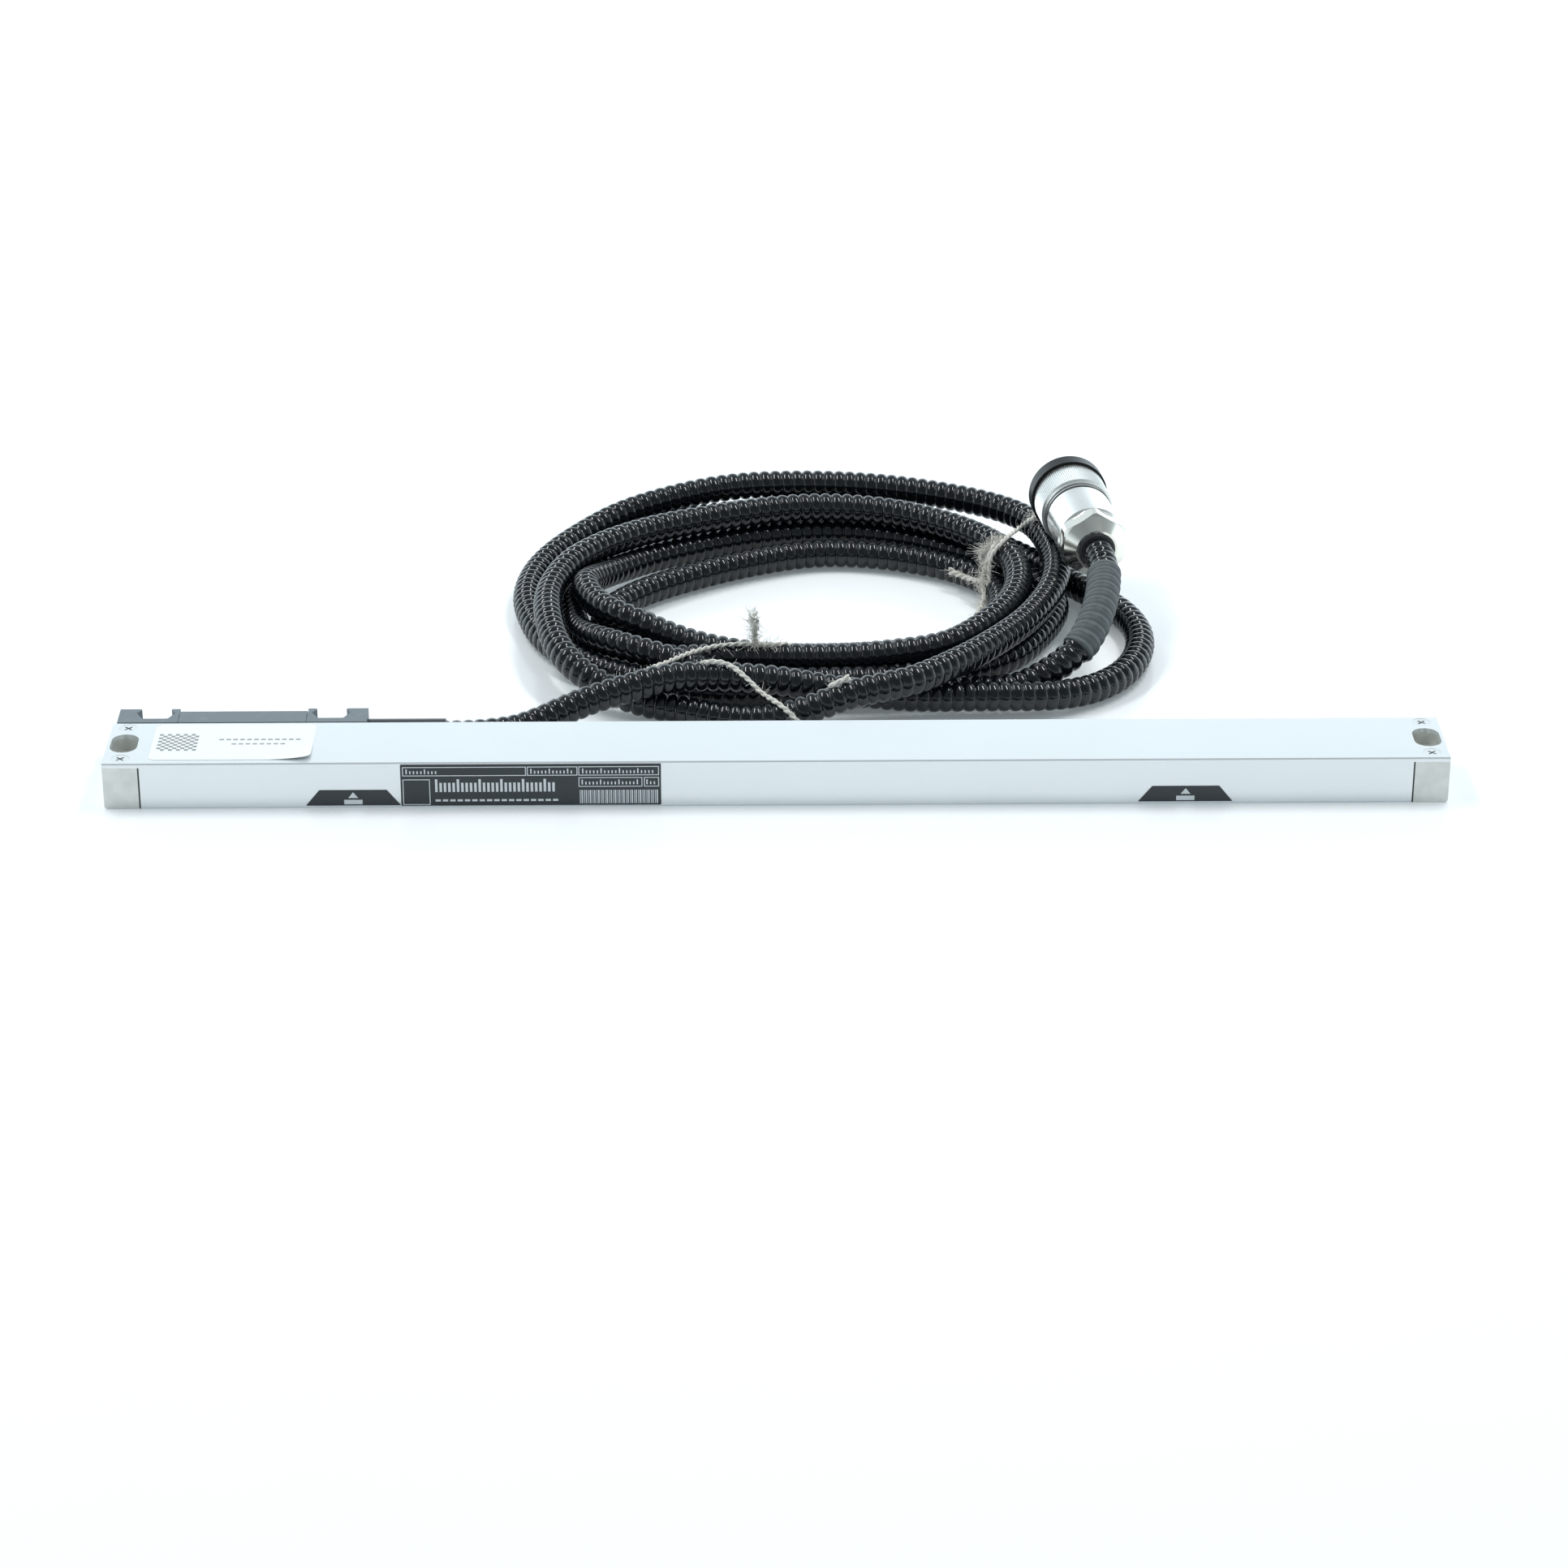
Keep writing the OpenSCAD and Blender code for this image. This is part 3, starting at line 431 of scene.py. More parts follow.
def stage_floor(colour):
    """Plain glossy white board, which is white to the eye and in reflections."""
    r = Recipe("stage_floor_board")
    cloud = r.grain(r.place(), 3.0, 2.0)
    tone = r.mix(cloud, shade(colour, 0.99), colour)
    seen = r.path("Is Camera Ray") + r.path("Is Glossy Ray") + r.path("Is Transmission Ray")
    return r.finish(
        Base_Color=tone,
        Roughness=0.16 + cloud * 0.04,
        Emission_Color=r.mix(seen, BLACK, (0.86, 0.96, 1.0)),
        Emission_Strength=0.14,
    )


SKY_TINT = (0.82, 0.935, 1.0)
SKY_STRENGTH = 2.0


def studio_sky(level):
    """A bright wall behind the object, less light overhead and a dark room in front."""
    r = Recipe("studio_sky", sky=True)
    way = r.add("ShaderNodeTexCoord")
    forward = r.add("ShaderNodeSeparateXYZ", {}, {0: way}, 1)
    upward = r.add("ShaderNodeSeparateXYZ", {}, {0: way}, 2)
    behind = r.ramp(forward * 0.5 + 0.5, [(0.28, 0.0), (0.55, 1.0)])
    wall = r.ramp(upward, [(0.0, 1.0), (0.30, 0.95), (0.46, 0.34), (1.0, 0.22)])
    room = r.ramp(upward, [(0.0, 0.60), (0.14, 0.42), (0.32, 0.17), (0.80, 0.13), (1.0, 0.22)])
    glow = r.mix(behind, r.mix(room, BLACK, SKY_TINT), r.mix(wall, BLACK, SKY_TINT))
    return r.finish(
        Color=r.mix(r.path("Is Camera Ray"), glow, WHITE), Strength=SKY_STRENGTH * level
    )


def coat_node(material, *names):
    """Gives CAD nodes a finish."""
    for name in names:
        mesh = frame["nodes"][name].data
        mesh.materials.clear()
        mesh.materials.append(material)


# ---------------------------------------------------------------- pieces from operators


def piece_from(bm, name, material, body, smooth=True):
    """Turns a bmesh into a finished piece that rides on a body."""
    bmesh.ops.recalc_face_normals(bm, faces=bm.faces)
    mesh = bpy.data.meshes.new(name)
    bm.to_mesh(mesh)
    bm.free()
    mesh.materials.append(material)
    mesh.polygons.foreach_set("use_smooth", [smooth] * len(mesh.polygons))
    piece = bpy.data.objects.new(name, mesh)
    bpy.context.scene.collection.objects.link(piece)
    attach(piece, body)
    return piece


CURVE_STEPS = 12


def even_points(points, spacing):
    """A smooth line through given points, as evenly spaced points."""
    p = np.array(points, float)
    p = np.vstack([2 * p[0] - p[1], p, 2 * p[-1] - p[-2]])
    line = []
    for a, b, c, d in zip(p[:-3], p[1:-2], p[2:-1], p[3:]):
        near, mid, far = (math.sqrt(math.dist(*q)) for q in ((a, b), (b, c), (c, d)))
        out = (c - b) + mid * ((b - a) / near - (c - a) / (near + mid))
        into = (c - b) + mid * ((d - c) / far - (d - b) / (mid + far))
        for t in np.linspace(0.0, 1.0, CURVE_STEPS, endpoint=False):
            line.append(
                (2 * t**3 - 3 * t**2 + 1) * b
                + (t**3 - 2 * t**2 + t) * out
                + (3 * t**2 - 2 * t**3) * c
                + (t**3 - t**2) * into
            )
    line.append(p[-2])
    return spaced(np.array(line), spacing)


def lengths(line):
    """The length of the line up to each of its points."""
    return np.r_[0.0, np.cumsum(np.linalg.norm(np.diff(line, axis=0), axis=1))]


def spaced(line, spacing):
    """The same line with its points a set distance apart."""
    gone = lengths(line)
    steps = np.linspace(0.0, gone[-1], int(round(gone[-1] / spacing)) + 1)
    return np.stack([np.interp(steps, gone, line[:, k]) for k in range(3)], axis=1)


def square_off(ways):
    """Vectors with their length brought to 1."""
    return ways / np.linalg.norm(ways, axis=1)[:, None]


def tube(name, line, radii, sides, pitch, material):
    """A tube along the conduit, from a rolled-up grid. Its UV map counts ribs along it."""
    rings = len(line)
    bm = bmesh.new()
    uv = bm.loops.layers.uv.new("lay")
    bmesh.ops.create_grid(bm, x_segments=rings - 1, y_segments=sides, size=0.5, calc_uvs=True)
    ahead = square_off(np.gradient(line, axis=0))
    side = square_off(np.cross(ahead, (0.0, 0.0, 1.0)))
    above = np.cross(side, ahead)
    gone = lengths(line)
    for vert in bm.verts:
        i = int(round((vert.co.x + 0.5) * (rings - 1)))
        turn = 2.0 * math.pi * (round((vert.co.y + 0.5) * sides) % sides) / sides
        lean = RIB_LEAN * math.cos(turn) if 0 < i < rings - 1 else 0.0
        spot = line[i] + ahead[i] * lean
        spot = spot + radii[i] * (side[i] * math.cos(turn) + above[i] * math.sin(turn))
        for loop in vert.link_loops:
            loop[uv].uv = (gone[i] / pitch, loop[uv].uv.y)
        vert.co = spot
    bmesh.ops.remove_doubles(bm, verts=bm.verts, dist=1e-6)
    bmesh.ops.holes_fill(bm, edges=bm.edges, sides=0)
    return piece_from(bm, name, material, "scanning_unit")


# ---------------------------------------------------------------- the conduit

# The route from the outlet, over the coil's front and out to the right, in millimetres.
LEAD = [
    (-103.3, 15.1, 7.4), (-97, 15.3, 7.3), (-90, 16.5, 7.2), (-80, 19.5, 7.2), (-71, 24.5, 8.5),
    (-62, 30, 10.5), (-52, 34, 12.5), (-42, 37.5, 14), (-32, 41, 15), (-19, 42.6, 14.5),
    (-1, 41, 14), (18, 41.5, 10.5), (31, 42, 8.6), (44, 42.5, 7.2), (58, 43.3, 6.9),
    (73, 43.3, 7), (88, 46, 6), (101, 53.5, 5), (111, 64.5, 5), (117, 79, 5), (119, 95, 5),
    (116, 111.5, 5), (109, 125.5, 5), (101.5, 137.5, 5), (88, 159, 5),
]

# The coil's turns, each from its back right round to its back right again, in millimetres.
# A stiff conduit is laid down loosely and no two turns match, so each turn has its own points.
TURNS = [
    [
        (69, 180, 5), (42, 195, 5), (14, 203, 5), (-14, 201, 5), (-42, 188, 5), (-62, 166, 5),
        (-70, 140, 5), (-67, 122, 5), (-63, 103, 5.5), (-60, 89, 8.5), (-54, 78, 11),
        (-45.5, 71, 11.5), (-34, 65.5, 10.5), (-20, 60.5, 7), (0, 60.5, 5), (20, 60.5, 5),
        (45, 62, 5), (62, 68, 5), (77, 79, 5), (86.5, 96, 5), (92, 111, 5), (93.5, 123, 5),
    ],
    [
        (90, 135, 5), (84, 147, 5), (74.5, 158, 5), (62, 168.5, 5), (48, 178, 5), (30, 184, 5),
        (14.8, 184.6, 5), (-12, 178, 5), (-30, 168, 5.5), (-43, 158, 6.5), (-53, 145, 8.5),
        (-60, 130, 11.5), (-60.5, 115, 14), (-56, 101, 14), (-48, 91, 13.5), (-36, 86, 10.5),
        (-21.5, 82.5, 7), (0, 79, 5), (20, 78.5, 5), (40, 81, 5), (58, 89, 5), (69, 102, 5),
        (75, 116, 5), (76, 130, 5), (72, 141, 5),
    ],
    [
        (62, 152, 5), (46, 161, 5), (30, 165.5, 5), (14, 165.6, 5), (-8, 157, 5),
        (-27, 145.2, 5), (-42, 133, 5), (-51, 121, 5), (-55, 106, 5), (-50, 91, 5),
        (-39.7, 79, 5.5), (-26, 72, 7.5), (-13.5, 69, 9), (6, 68.5, 9), (26, 68.5, 9),
        (38, 68, 10), (50, 69, 11.5), (62, 76, 13.5), (72.5, 90, 14.5), (79, 106, 14.5),
        (81.5, 124, 14.5), (79, 142, 14.5),
    ],
    [
        (69, 159, 14.5), (55, 172, 14.5), (40, 181, 14), (14.7, 185, 14), (-14, 177.5, 14),
        (-40.6, 163.5, 14), (-60, 143.5, 14), (-70, 124, 14), (-72.7, 107.5, 14), (-71.5, 86, 14),
        (-67.5, 67, 13), (-61, 55, 11), (-52, 48, 8), (-42, 44, 5.5), (-30, 39.5, 4.8),
        (-15, 32.5, 4.8), (-2, 27.5, 7), (9, 25.5, 10.5), (20, 27, 14), (30, 30.5, 15.5),
        (40, 32.7, 16.5), (52.3, 42.8, 16.7), (67, 61, 16), (82.6, 87.3, 15),
        (92.3, 115.4, 14.5), (94.7, 136.5, 14.5),
    ],
    [
        (93, 155, 14.5), (89, 170, 14.5), (79, 183, 14.5), (60, 195, 14.5), (36, 203.5, 14.5),
        (12, 207.5, 14), (-12, 207.5, 13), (-30, 204, 11), (-51, 193, 8.5), (-67.5, 173, 6),
        (-77, 155, 5), (-80.6, 129.6, 5), (-78, 110, 5), (-73.6, 95.6, 5), (-63, 78, 5),
        (-48, 65, 5), (-30, 56, 5), (0, 51, 5), (30, 51.5, 5), (45, 52.3, 5),
    ],
]

# The end that climbs over the first loop to the connector, in millimetres.
TAIL = [
    (58, 53, 5), (76, 53, 5.4), (87, 57.3, 9.4), (96, 62, 14.2), (104, 77.5, 22),
    (107, 96.5, 27),
]

# Where the conduit enters the connector, in which direction, and how far it runs straight.
CONNECTOR = Vector((106.0, 110.5, 28.3))
CONNECTOR_TURN = math.radians(97.8)
CONNECTOR_LIFT = math.radians(2.5)
CONNECTOR_AXIS = Vector((
    math.cos(CONNECTOR_LIFT) * math.cos(CONNECTOR_TURN),
    math.cos(CONNECTOR_LIFT) * math.sin(CONNECTOR_TURN),
    math.sin(CONNECTOR_LIFT),
))
END_LEAD = 7.0

# How the coil settles, in millimetres and in shares of a move.
NODE_STEP = 4.0
STRAND_GAP = 9.6
LOWEST = 4.8
STIFFNESS = 0.015
HOME_PULL = 0.02
ROUNDS = 200
HELD_AT_OUTLET = 6
HELD_AT_CONNECTOR = 3
NEIGHBOURS = 5
CENTRE_STEP = 0.5

# Across one rib: the place along its pitch, and the share of the groove's depth.
RIB = ((0.0, 1.0), (0.09, 0.48), (0.27, 0.12), (0.5, 0.0), (0.73, 0.12), (0.91, 0.48))
# How far a rib leans along the conduit, in metres, and the sides of the two tubes.
RIB_LEAN = 0.0005
CONDUIT_SIDES = 16
SLEEVE_SIDES = 24

# Where the shrunk sleeve begins and ends, back from the conduit's end, in metres.
SLEEVE_FROM = 0.054
SLEEVE_TO = 0.014
# The share of the grooves that shows through it, and how proud its ends are.
SLEEVE_CLING = 0.9
SLEEVE_LIP = 0.0001


def settled(points):
    """Lets the strands of the coil push each other off, and rest on the floor, as a stiff conduit does."""
    home = even_points(points, NODE_STEP)
    line = home.copy()
    step = float(np.linalg.norm(np.diff(home, axis=0), axis=1).mean())
    first, second = np.triu_indices(len(line), NEIGHBOURS)
    held = np.zeros(len(line), bool)
    held[:HELD_AT_OUTLET] = True
    held[-HELD_AT_CONNECTOR:] = True
    for _ in range(ROUNDS):
        apart = line[first] - line[second]
        far = np.linalg.norm(apart, axis=1)
        near = far < STRAND_GAP
        if near.any():
            a, b = first[near], second[near]
            push = apart[near] / far[near, None] * (STRAND_GAP - far[near, None]) * 0.5
            total = np.zeros_like(line)
            shares = np.zeros(len(line))
            np.add.at(total, a, push)
            np.add.at(total, b, -push)
            np.add.at(shares, a, 1)
            np.add.at(shares, b, 1)
            line += total / np.maximum(shares, 1)[:, None]
        for start in (0, 1):
            low = line[start:-1:2]
            high = line[start + 1 :: 2]
            count = min(len(low), len(high))
            run = high[:count] - low[:count]
            pull = run * (1 - step / np.linalg.norm(run, axis=1)[:, None]) * 0.5
            line[start : start + 2 * count : 2] += pull
            line[start + 1 : start + 1 + 2 * count : 2] -= pull
        bend = line[:-4] - 4 * line[1:-3] + 6 * line[2:-2] - 4 * line[3:-1] + line[4:]
        line[2:-2] -= STIFFNESS * bend
        line += HOME_PULL * (home - line)
        line[:, 2] = np.maximum(line[:, 2], LOWEST)
        line[held] = home[held]
    return line


def conduit_line():
    """The whole conduit's centreline in millimetres, from the outlet to the connector."""
    into = CONNECTOR - CONNECTOR_AXIS * END_LEAD
    points = list(LEAD)
    for turn in TURNS:
        points += turn
    points += TAIL
    points += [tuple(into), tuple(CONNECTOR)]
    return settled(points)


def rib_rings(line, pitch):
    """Ring centres along the conduit, six to a rib."""
    gone = lengths(line)
    ribs = int(gone[-1] / pitch)
    steps = [(rib + place) * gone[-1] / ribs for rib in range(ribs) for place, _ in RIB]
    steps.append(gone[-1])
    return np.stack([np.interp(steps, gone, line[:, k]) for k in range(3)], axis=1)


def rib_radii(count, radius, groove):
    return [radius - groove * RIB[i % len(RIB)][1] for i in range(count)]


def smooth_line(line, spacing):
    """Rounds a settled line off, and brings it to a finer spacing."""
    return even_points(line[::2] if len(line) % 2 else np.vstack([line[:-1:2], line[-1]]), spacing)


class SCALE_OT_conduit(bpy.types.Operator):
    """Make the ribbed conduit from the outlet to the connector, and its shrunk sleeve"""

    bl_idname = "glass_scale.conduit"
    bl_label = "Conduit"

    def execute(self, context):
        cable = context.scene.glass_scale_cable
        centre = smooth_line(conduit_line(), CENTRE_STEP) * MM
        rings = rib_rings(centre, cable.rib_pitch)
        radius = cable.diameter / 2
        radii = rib_radii(len(rings), radius, cable.groove)
        conduit = tube(
            "conduit", rings, radii, CONDUIT_SIDES, cable.rib_pitch,
            cable_coat(cable.coat),
        )
        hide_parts("cable_lead", "cable_coil", "cable_loop", "cable_tail", "cable_end")
        gone = lengths(rings)
        end = gone[-1]
        over = np.flatnonzero((gone > end - SLEEVE_FROM) & (gone < end - SLEEVE_TO))
        swell = [cable.sleeve_diameter / 2 - SLEEVE_CLING * (radius - radii[i]) for i in over]
        swell[0] = swell[-1] = radius + SLEEVE_LIP
        sleeve = tube(
            "shrink_sleeve", rings[over], swell, SLEEVE_SIDES, cable.rib_pitch,
            sleeve_coat(cable.sleeve),
        )
        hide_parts("cable_shrink_sleeve")
        with_pieces = [sleeve, "gland_seal", "clamp_nut", "connector_barrel", "barrel_o_ring"]
        with_pieces += ["connector_insert", "contact_pins", "coupling_ring", "dust_cap"]
        with_pieces += [o for o in bpy.data.objects if o.name.startswith("tie_")]
        return {"FINISHED"}


# ---------------------------------------------------------------- twine ties

# Twine over the coil's front left, from behind the first strand to the back strands.
TIE_LEFT = [
    (-57, 46, 8), (-51, 43.5, 12.5), (-44.5, 44, 14.6), (-36, 52, 14.4), (-27, 62, 13.9),
    (-20, 67.5, 13.6), (-12, 68, 14.4), (-4, 67.5, 14.4), (4, 69.5, 13.6), (9, 74, 10), (10, 75, 4),
]
# The frayed end that stands up from that tie.
TIE_LEFT_END = [(-5, 68, 13.5), (-6, 67.5, 17), (-5.5, 67, 21), (-6.5, 67, 25.5)]
# Twine over the first strand and down to the floor behind the housing.
TIE_MIDDLE = [
    (-30, 46, 10), (-26, 44, 16.5), (-21, 41.5, 20), (-15, 40, 20), (-9, 35.5, 17.2), (-4, 30, 14.4),
    (1.5, 24, 13), (6.5, 20, 9.8), (10, 18.8, 5), (12, 21.5, 1.4), (13, 30, 1.1),
]
# A short clipping that lies on the conduit.
TIE_CLIPPING = [(16.5, 26, 18.2), (18.5, 26.5, 19.2), (21, 27, 20.2), (22.8, 27.4, 20.9)]
# Twine over the back right strands, down inside the coil to the floor.
TIE_RIGHT = [
    (98, 172, 8), (96.5, 168, 15.5), (92.5, 164.5, 20.3), (88, 159, 20), (82, 149, 20),
    (76.5, 139, 19.4), (73.2, 137, 15), (72.4, 133.5, 9), (71.2, 127, 2), (73, 121, 1.1),
]
# Its two loose ends, of which the second is fluffy.
TIE_RIGHT_END = [(75, 140, 19.5), (72.6, 138, 15), (70.6, 135.5, 9), (70.4, 128, 4), (68, 122, 1.2)]
TIE_FUZZY_END = [(71.5, 133, 8.5), (68.5, 137.5, 6.8), (64.5, 142, 6.4), (60, 146, 6.8)]

# The spacing of the twine's points in millimetres, and its length of one full twist in metres.
TWINE_STEP = 0.45
TWIST = 0.0052
# A ply's distance from the middle and its radius, as shares of the twine's diameter.
PLY_OUT = 0.24
PLY_RADIUS = 0.29
# A direction in which no twine starts off.
ASLANT = (0.36, 0.48, 0.80)
# A loose fibre: its points, its radii at root and tip, how much it bends, and its lowest place.
HAIR_POINTS = 5
HAIR_RADII = (0.00008, 0.00004)
HAIR_BEND = 1.1
HAIR_LOWEST = 0.0003
# The shortest and longest loose fibre along the twine, and a tuft's spread in millimetres.
STRAY = (0.0006, 0.0015)
TUFT_SPREAD = 0.9


class Twine:
    """Two twisted plies and loose hairs, drawn as curves and kept as one mesh."""

    def __init__(self, name, diameter, seed):
        self.name = name
        self.diameter = diameter
        self.random = np.random.default_rng(seed)
        self.curve = bpy.data.curves.new(name, "CURVE")
        self.curve.dimensions = "3D"
        self.curve.bevel_depth = MM
        self.curve.bevel_resolution = 1
        self.curve.use_fill_caps = True

    def strand(self, line, radii):
        spline = self.curve.splines.new("POLY")
        spline.points.add(len(line) - 1)
        spline.points.foreach_set("co", np.c_[line, np.ones(len(line))].ravel())
        spline.points.foreach_set("radius", np.broadcast_to(np.array(radii) / MM, len(line)))

    def hair(self, root, reach):
        """One fibre that leaves its root in any direction and bends over."""
        way = self.random.normal(size=3)
        way /= np.linalg.norm(way)
        bend = self.random.normal(size=3) * HAIR_BEND
        t = np.linspace(0.0, 1.0, HAIR_POINTS)[:, None]
        line = root + reach * (way * t + bend * t**2)
        line[:, 2] = np.maximum(line[:, 2], HAIR_LOWEST)
        self.strand(line, np.linspace(*HAIR_RADII, HAIR_POINTS))

    def tuft(self, low, high, count, reach):
        """A fluffy bunch of fibres between two points, in millimetres."""
        for _ in range(count):
            root = np.array(low) + (np.array(high) - low) * self.random.random()
            root = (root + self.random.normal(size=3) * TUFT_SPREAD) * MM
            self.hair(root, reach * self.random.uniform(0.4, 1.0))

    def lay(self, points, fray=0.0, hairs=1.2):
        """Twists two plies along a route, apart at the end where it is frayed."""
        line = even_points(points, TWINE_STEP) * MM
        ahead = square_off(np.gradient(line, axis=0))
        side = [np.cross(ahead[0], ASLANT)]
        for way in ahead[1:]:
            side.append(side[-1] - way * np.dot(side[-1], way))
        side = square_off(np.array(side))
        above = np.cross(side, ahead)
        gone = lengths(line)
        slub = 1.0 + 0.10 * np.sin(gone / 0.0031) + 0.08 * np.sin(gone / 0.0013 + 1.0)
        spread = self.diameter * PLY_OUT * (1.0 + fray * (gone / gone[-1]) ** 3)
        turn = gone / TWIST * 2.0 * math.pi
        for start in (0.0, math.pi):
            out = side * np.cos(turn + start)[:, None] + above * np.sin(turn + start)[:, None]
            self.strand(line + out * spread[:, None], self.diameter * PLY_RADIUS * slub)
        for _ in range(int(hairs * gone[-1] / MM)):
            root = line[self.random.integers(len(line))]
            self.hair(root, self.random.uniform(*STRAY))

    def piece(self, material):
        holder = bpy.data.objects.new(self.name, self.curve)
        bpy.context.scene.collection.objects.link(holder)
        solid = holder.evaluated_get(bpy.context.evaluated_depsgraph_get())
        mesh = bpy.data.meshes.new_from_object(solid)
        bpy.data.objects.remove(holder)
        bm = bmesh.new()
        bm.from_mesh(mesh)
        return piece_from(bm, self.name, material, "scanning_unit")


class SCALE_OT_ties(bpy.types.Operator):
    """Make the twine that ties the coil, with its knots and frayed ends"""

    bl_idname = "glass_scale.ties"
    bl_label = "Twine ties"

    def execute(self, context):
        cable = context.scene.glass_scale_cable
        finish = twine_fibre(cable.twine_colour)

        left = Twine("tie_left", cable.twine, 3)
        left.lay(TIE_LEFT)
        left.lay(TIE_LEFT_END, fray=2.2, hairs=6.0)
        left.tuft((-9, 67.5, 14), (1, 67.5, 14), 150, 0.0015)
        left.tuft((-6, 67.5, 15), (-6.5, 67, 25.5), 260, 0.0014)
        left.piece(finish)

        middle = Twine("tie_middle", cable.twine, 5)
        middle.lay(TIE_MIDDLE)
        middle.piece(finish)

        clipping = Twine("tie_clipping", cable.twine, 7)
        clipping.lay(TIE_CLIPPING, fray=0.8, hairs=5.0)
        clipping.piece(finish)

        right = Twine("tie_right", cable.twine, 11)
        right.lay(TIE_RIGHT)
        right.lay(TIE_RIGHT_END, hairs=3.0)
        right.lay(TIE_FUZZY_END, fray=1.6, hairs=8.0)
        right.tuft((92, 164, 20.5), (88, 160, 20), 150, 0.0015)
        right.tuft((71, 144, 13), (77, 142, 19.5), 620, 0.0019)
        right.tuft((71.5, 137, 14), (70.5, 131, 5), 300, 0.0016)
        right.tuft((70, 128, 3), (72, 121, 2), 200, 0.0018)
        right.piece(finish)
        return {"FINISHED"}


# ---------------------------------------------------------------- labels

# The black type plate's edges on the front face, in millimetres: left, low, right, high.
PLATE = (-113.0, 0.6, -35.0, 14.2)
PLATE_FRAMES = [
    (0.6, 10.4, 37.6, 13.4), (37.9, 10.4, 53.0, 13.4), (53.3, 10.4, 77.4, 13.4),
    (0.6, 0.9, 8.8, 9.35), (53.3, 6.65, 72.4, 9.8), (72.9, 6.65, 77.4, 9.8),
]
FRAME_LINE = 0.25
# Rows of ticks on it, in millimetres: left, right, low, high, pitch and width.
TICK_ROWS = [
    (1.6, 11.0, 11.1, 12.7, 1.1, 0.4), (38.9, 52.4, 11.1, 12.7, 1.1, 0.4),
    (54.4, 76.6, 11.1, 12.7, 1.1, 0.4), (54.2, 71.6, 7.4, 9.0, 1.1, 0.4),
    (73.6, 76.6, 7.4, 9.0, 1.1, 0.4),
]
BIG_TICKS = (10.3, 47.4, 5.15, 9.35, 1.3, 0.75)
# Its row of dashes: the first dash, then the pitch and the count.
PLATE_DASHES = ((10.3, 2.0, 11.9, 2.7), 2.2, 17)
# Its close upright bars: left, low and high edges, count, widths and gaps.
BARS_LEFT = 53.6
BARS_LOW = 1.15
BARS_HIGH = 5.6
BARS = 38
BAR_WIDTHS = (0.25, 0.45, 0.25, 0.35)
BAR_GAPS = (0.25, 0.35)
INK = 0.00002

# The two marks over the reference points of the glass, in millimetres.
REFERENCE_X = (-127.33, 122.67)
REFERENCE_BASE = 28.5
REFERENCE_TOP = 20.2
REFERENCE_HEIGHT = 5.1
REFERENCE_LOW = 0.8
# The bar and the arrow printed on a mark, from its middle, in millimetres.
REFERENCE_BAR = (-2.75, 1.2, 2.75, 2.7)
REFERENCE_ARROW = [(-1.5, 3.3), (1.5, 3.3), (0.0, 5.2)]

# The paper label on top of the housing, in millimetres: left, front, right, back.
PAPER = (-188.5, -17.7, -140.0, 7.5)
# How high its loose corner lifts, how far in from the corner, and in how many folds.
PAPER_LIFT = 1.2
PAPER_FOLD = 10.0
PAPER_FOLDS = 8
# The printed squares on it, and its two rows of dashes.
SQUARES_LEFT = -186.8
SQUARES_BACK = 0.7
SQUARE = 1.2
SQUARES = 10
PAPER_DASHES = [((-168.5, -3.9, -167.1, -3.0), 2.1, 12), ((-164.5, -7.0, -163.1, -6.2), 2.1, 8)]


def rectangle(left, low, right, high):
    return [(left, low), (right, low), (right, high), (left, high)]


def film(outline, thickness, corner, cuts=()):
    """A thin plate lying flat, from an outline in millimetres, with its corners rounded."""
    bm = bmesh.new()
    corners = [bm.verts.new((x * MM, y * MM, 0.0)) for x, y in outline]
    bm.faces.new(corners)
    bmesh.ops.bevel(
        bm, geom=corners, offset=corner * MM, offset_type="OFFSET", affect="VERTICES",
        segments=4, profile=0.5, material=-1,
    )
    for spot, way in cuts:
        geom = bm.verts[:] + bm.edges[:] + bm.faces[:]
        bmesh.ops.bisect_plane(bm, geom=geom, plane_co=spot, plane_no=way)
    grown = bmesh.ops.extrude_face_region(bm, geom=bm.faces[:])["geom"]
    lid = [part for part in grown if isinstance(part, bmesh.types.BMVert)]
    bmesh.ops.translate(bm, verts=lid, vec=(0.0, 0.0, thickness))
    return bm


def printed(marks):
    """Flat printed bars, each given as left, low, right and high in millimetres."""
    bm = bmesh.new()
    for left, low, right, high in marks:
        middle = Vector(((left + right) / 2 * MM, (low + high) / 2 * MM, INK / 2))
        size = Vector(((right - left) * MM, (high - low) * MM, INK))
        bmesh.ops.create_cube(bm, size=1.0, matrix=Matrix.LocRotScale(middle, None, size))
    return bm


def outlined(left, low, right, high):
    """The four thin bars of a printed frame."""
    w = FRAME_LINE
    return [
        (left, low, right, low + w), (left, high - w, right, high),
        (left, low + w, left + w, high - w), (right - w, low + w, right, high - w),
    ]


def ticks(left, right, low, high, pitch, width, short=0.6):
    """Bars like those of a ruler, of which every fifth is the full height."""
    count = int((right - left - width) / pitch) + 1
    bars = []
    for i in range(count):
        top = high if i % 5 == 0 else low + (high - low) * short
        bars.append((left + i * pitch, low, left + i * pitch + width, top))
    return bars


def dashes(first, pitch, count):
    """A row of equal dashes."""
    left, low, right, high = first
    return [(left + pitch * i, low, right + pitch * i, high) for i in range(count)]


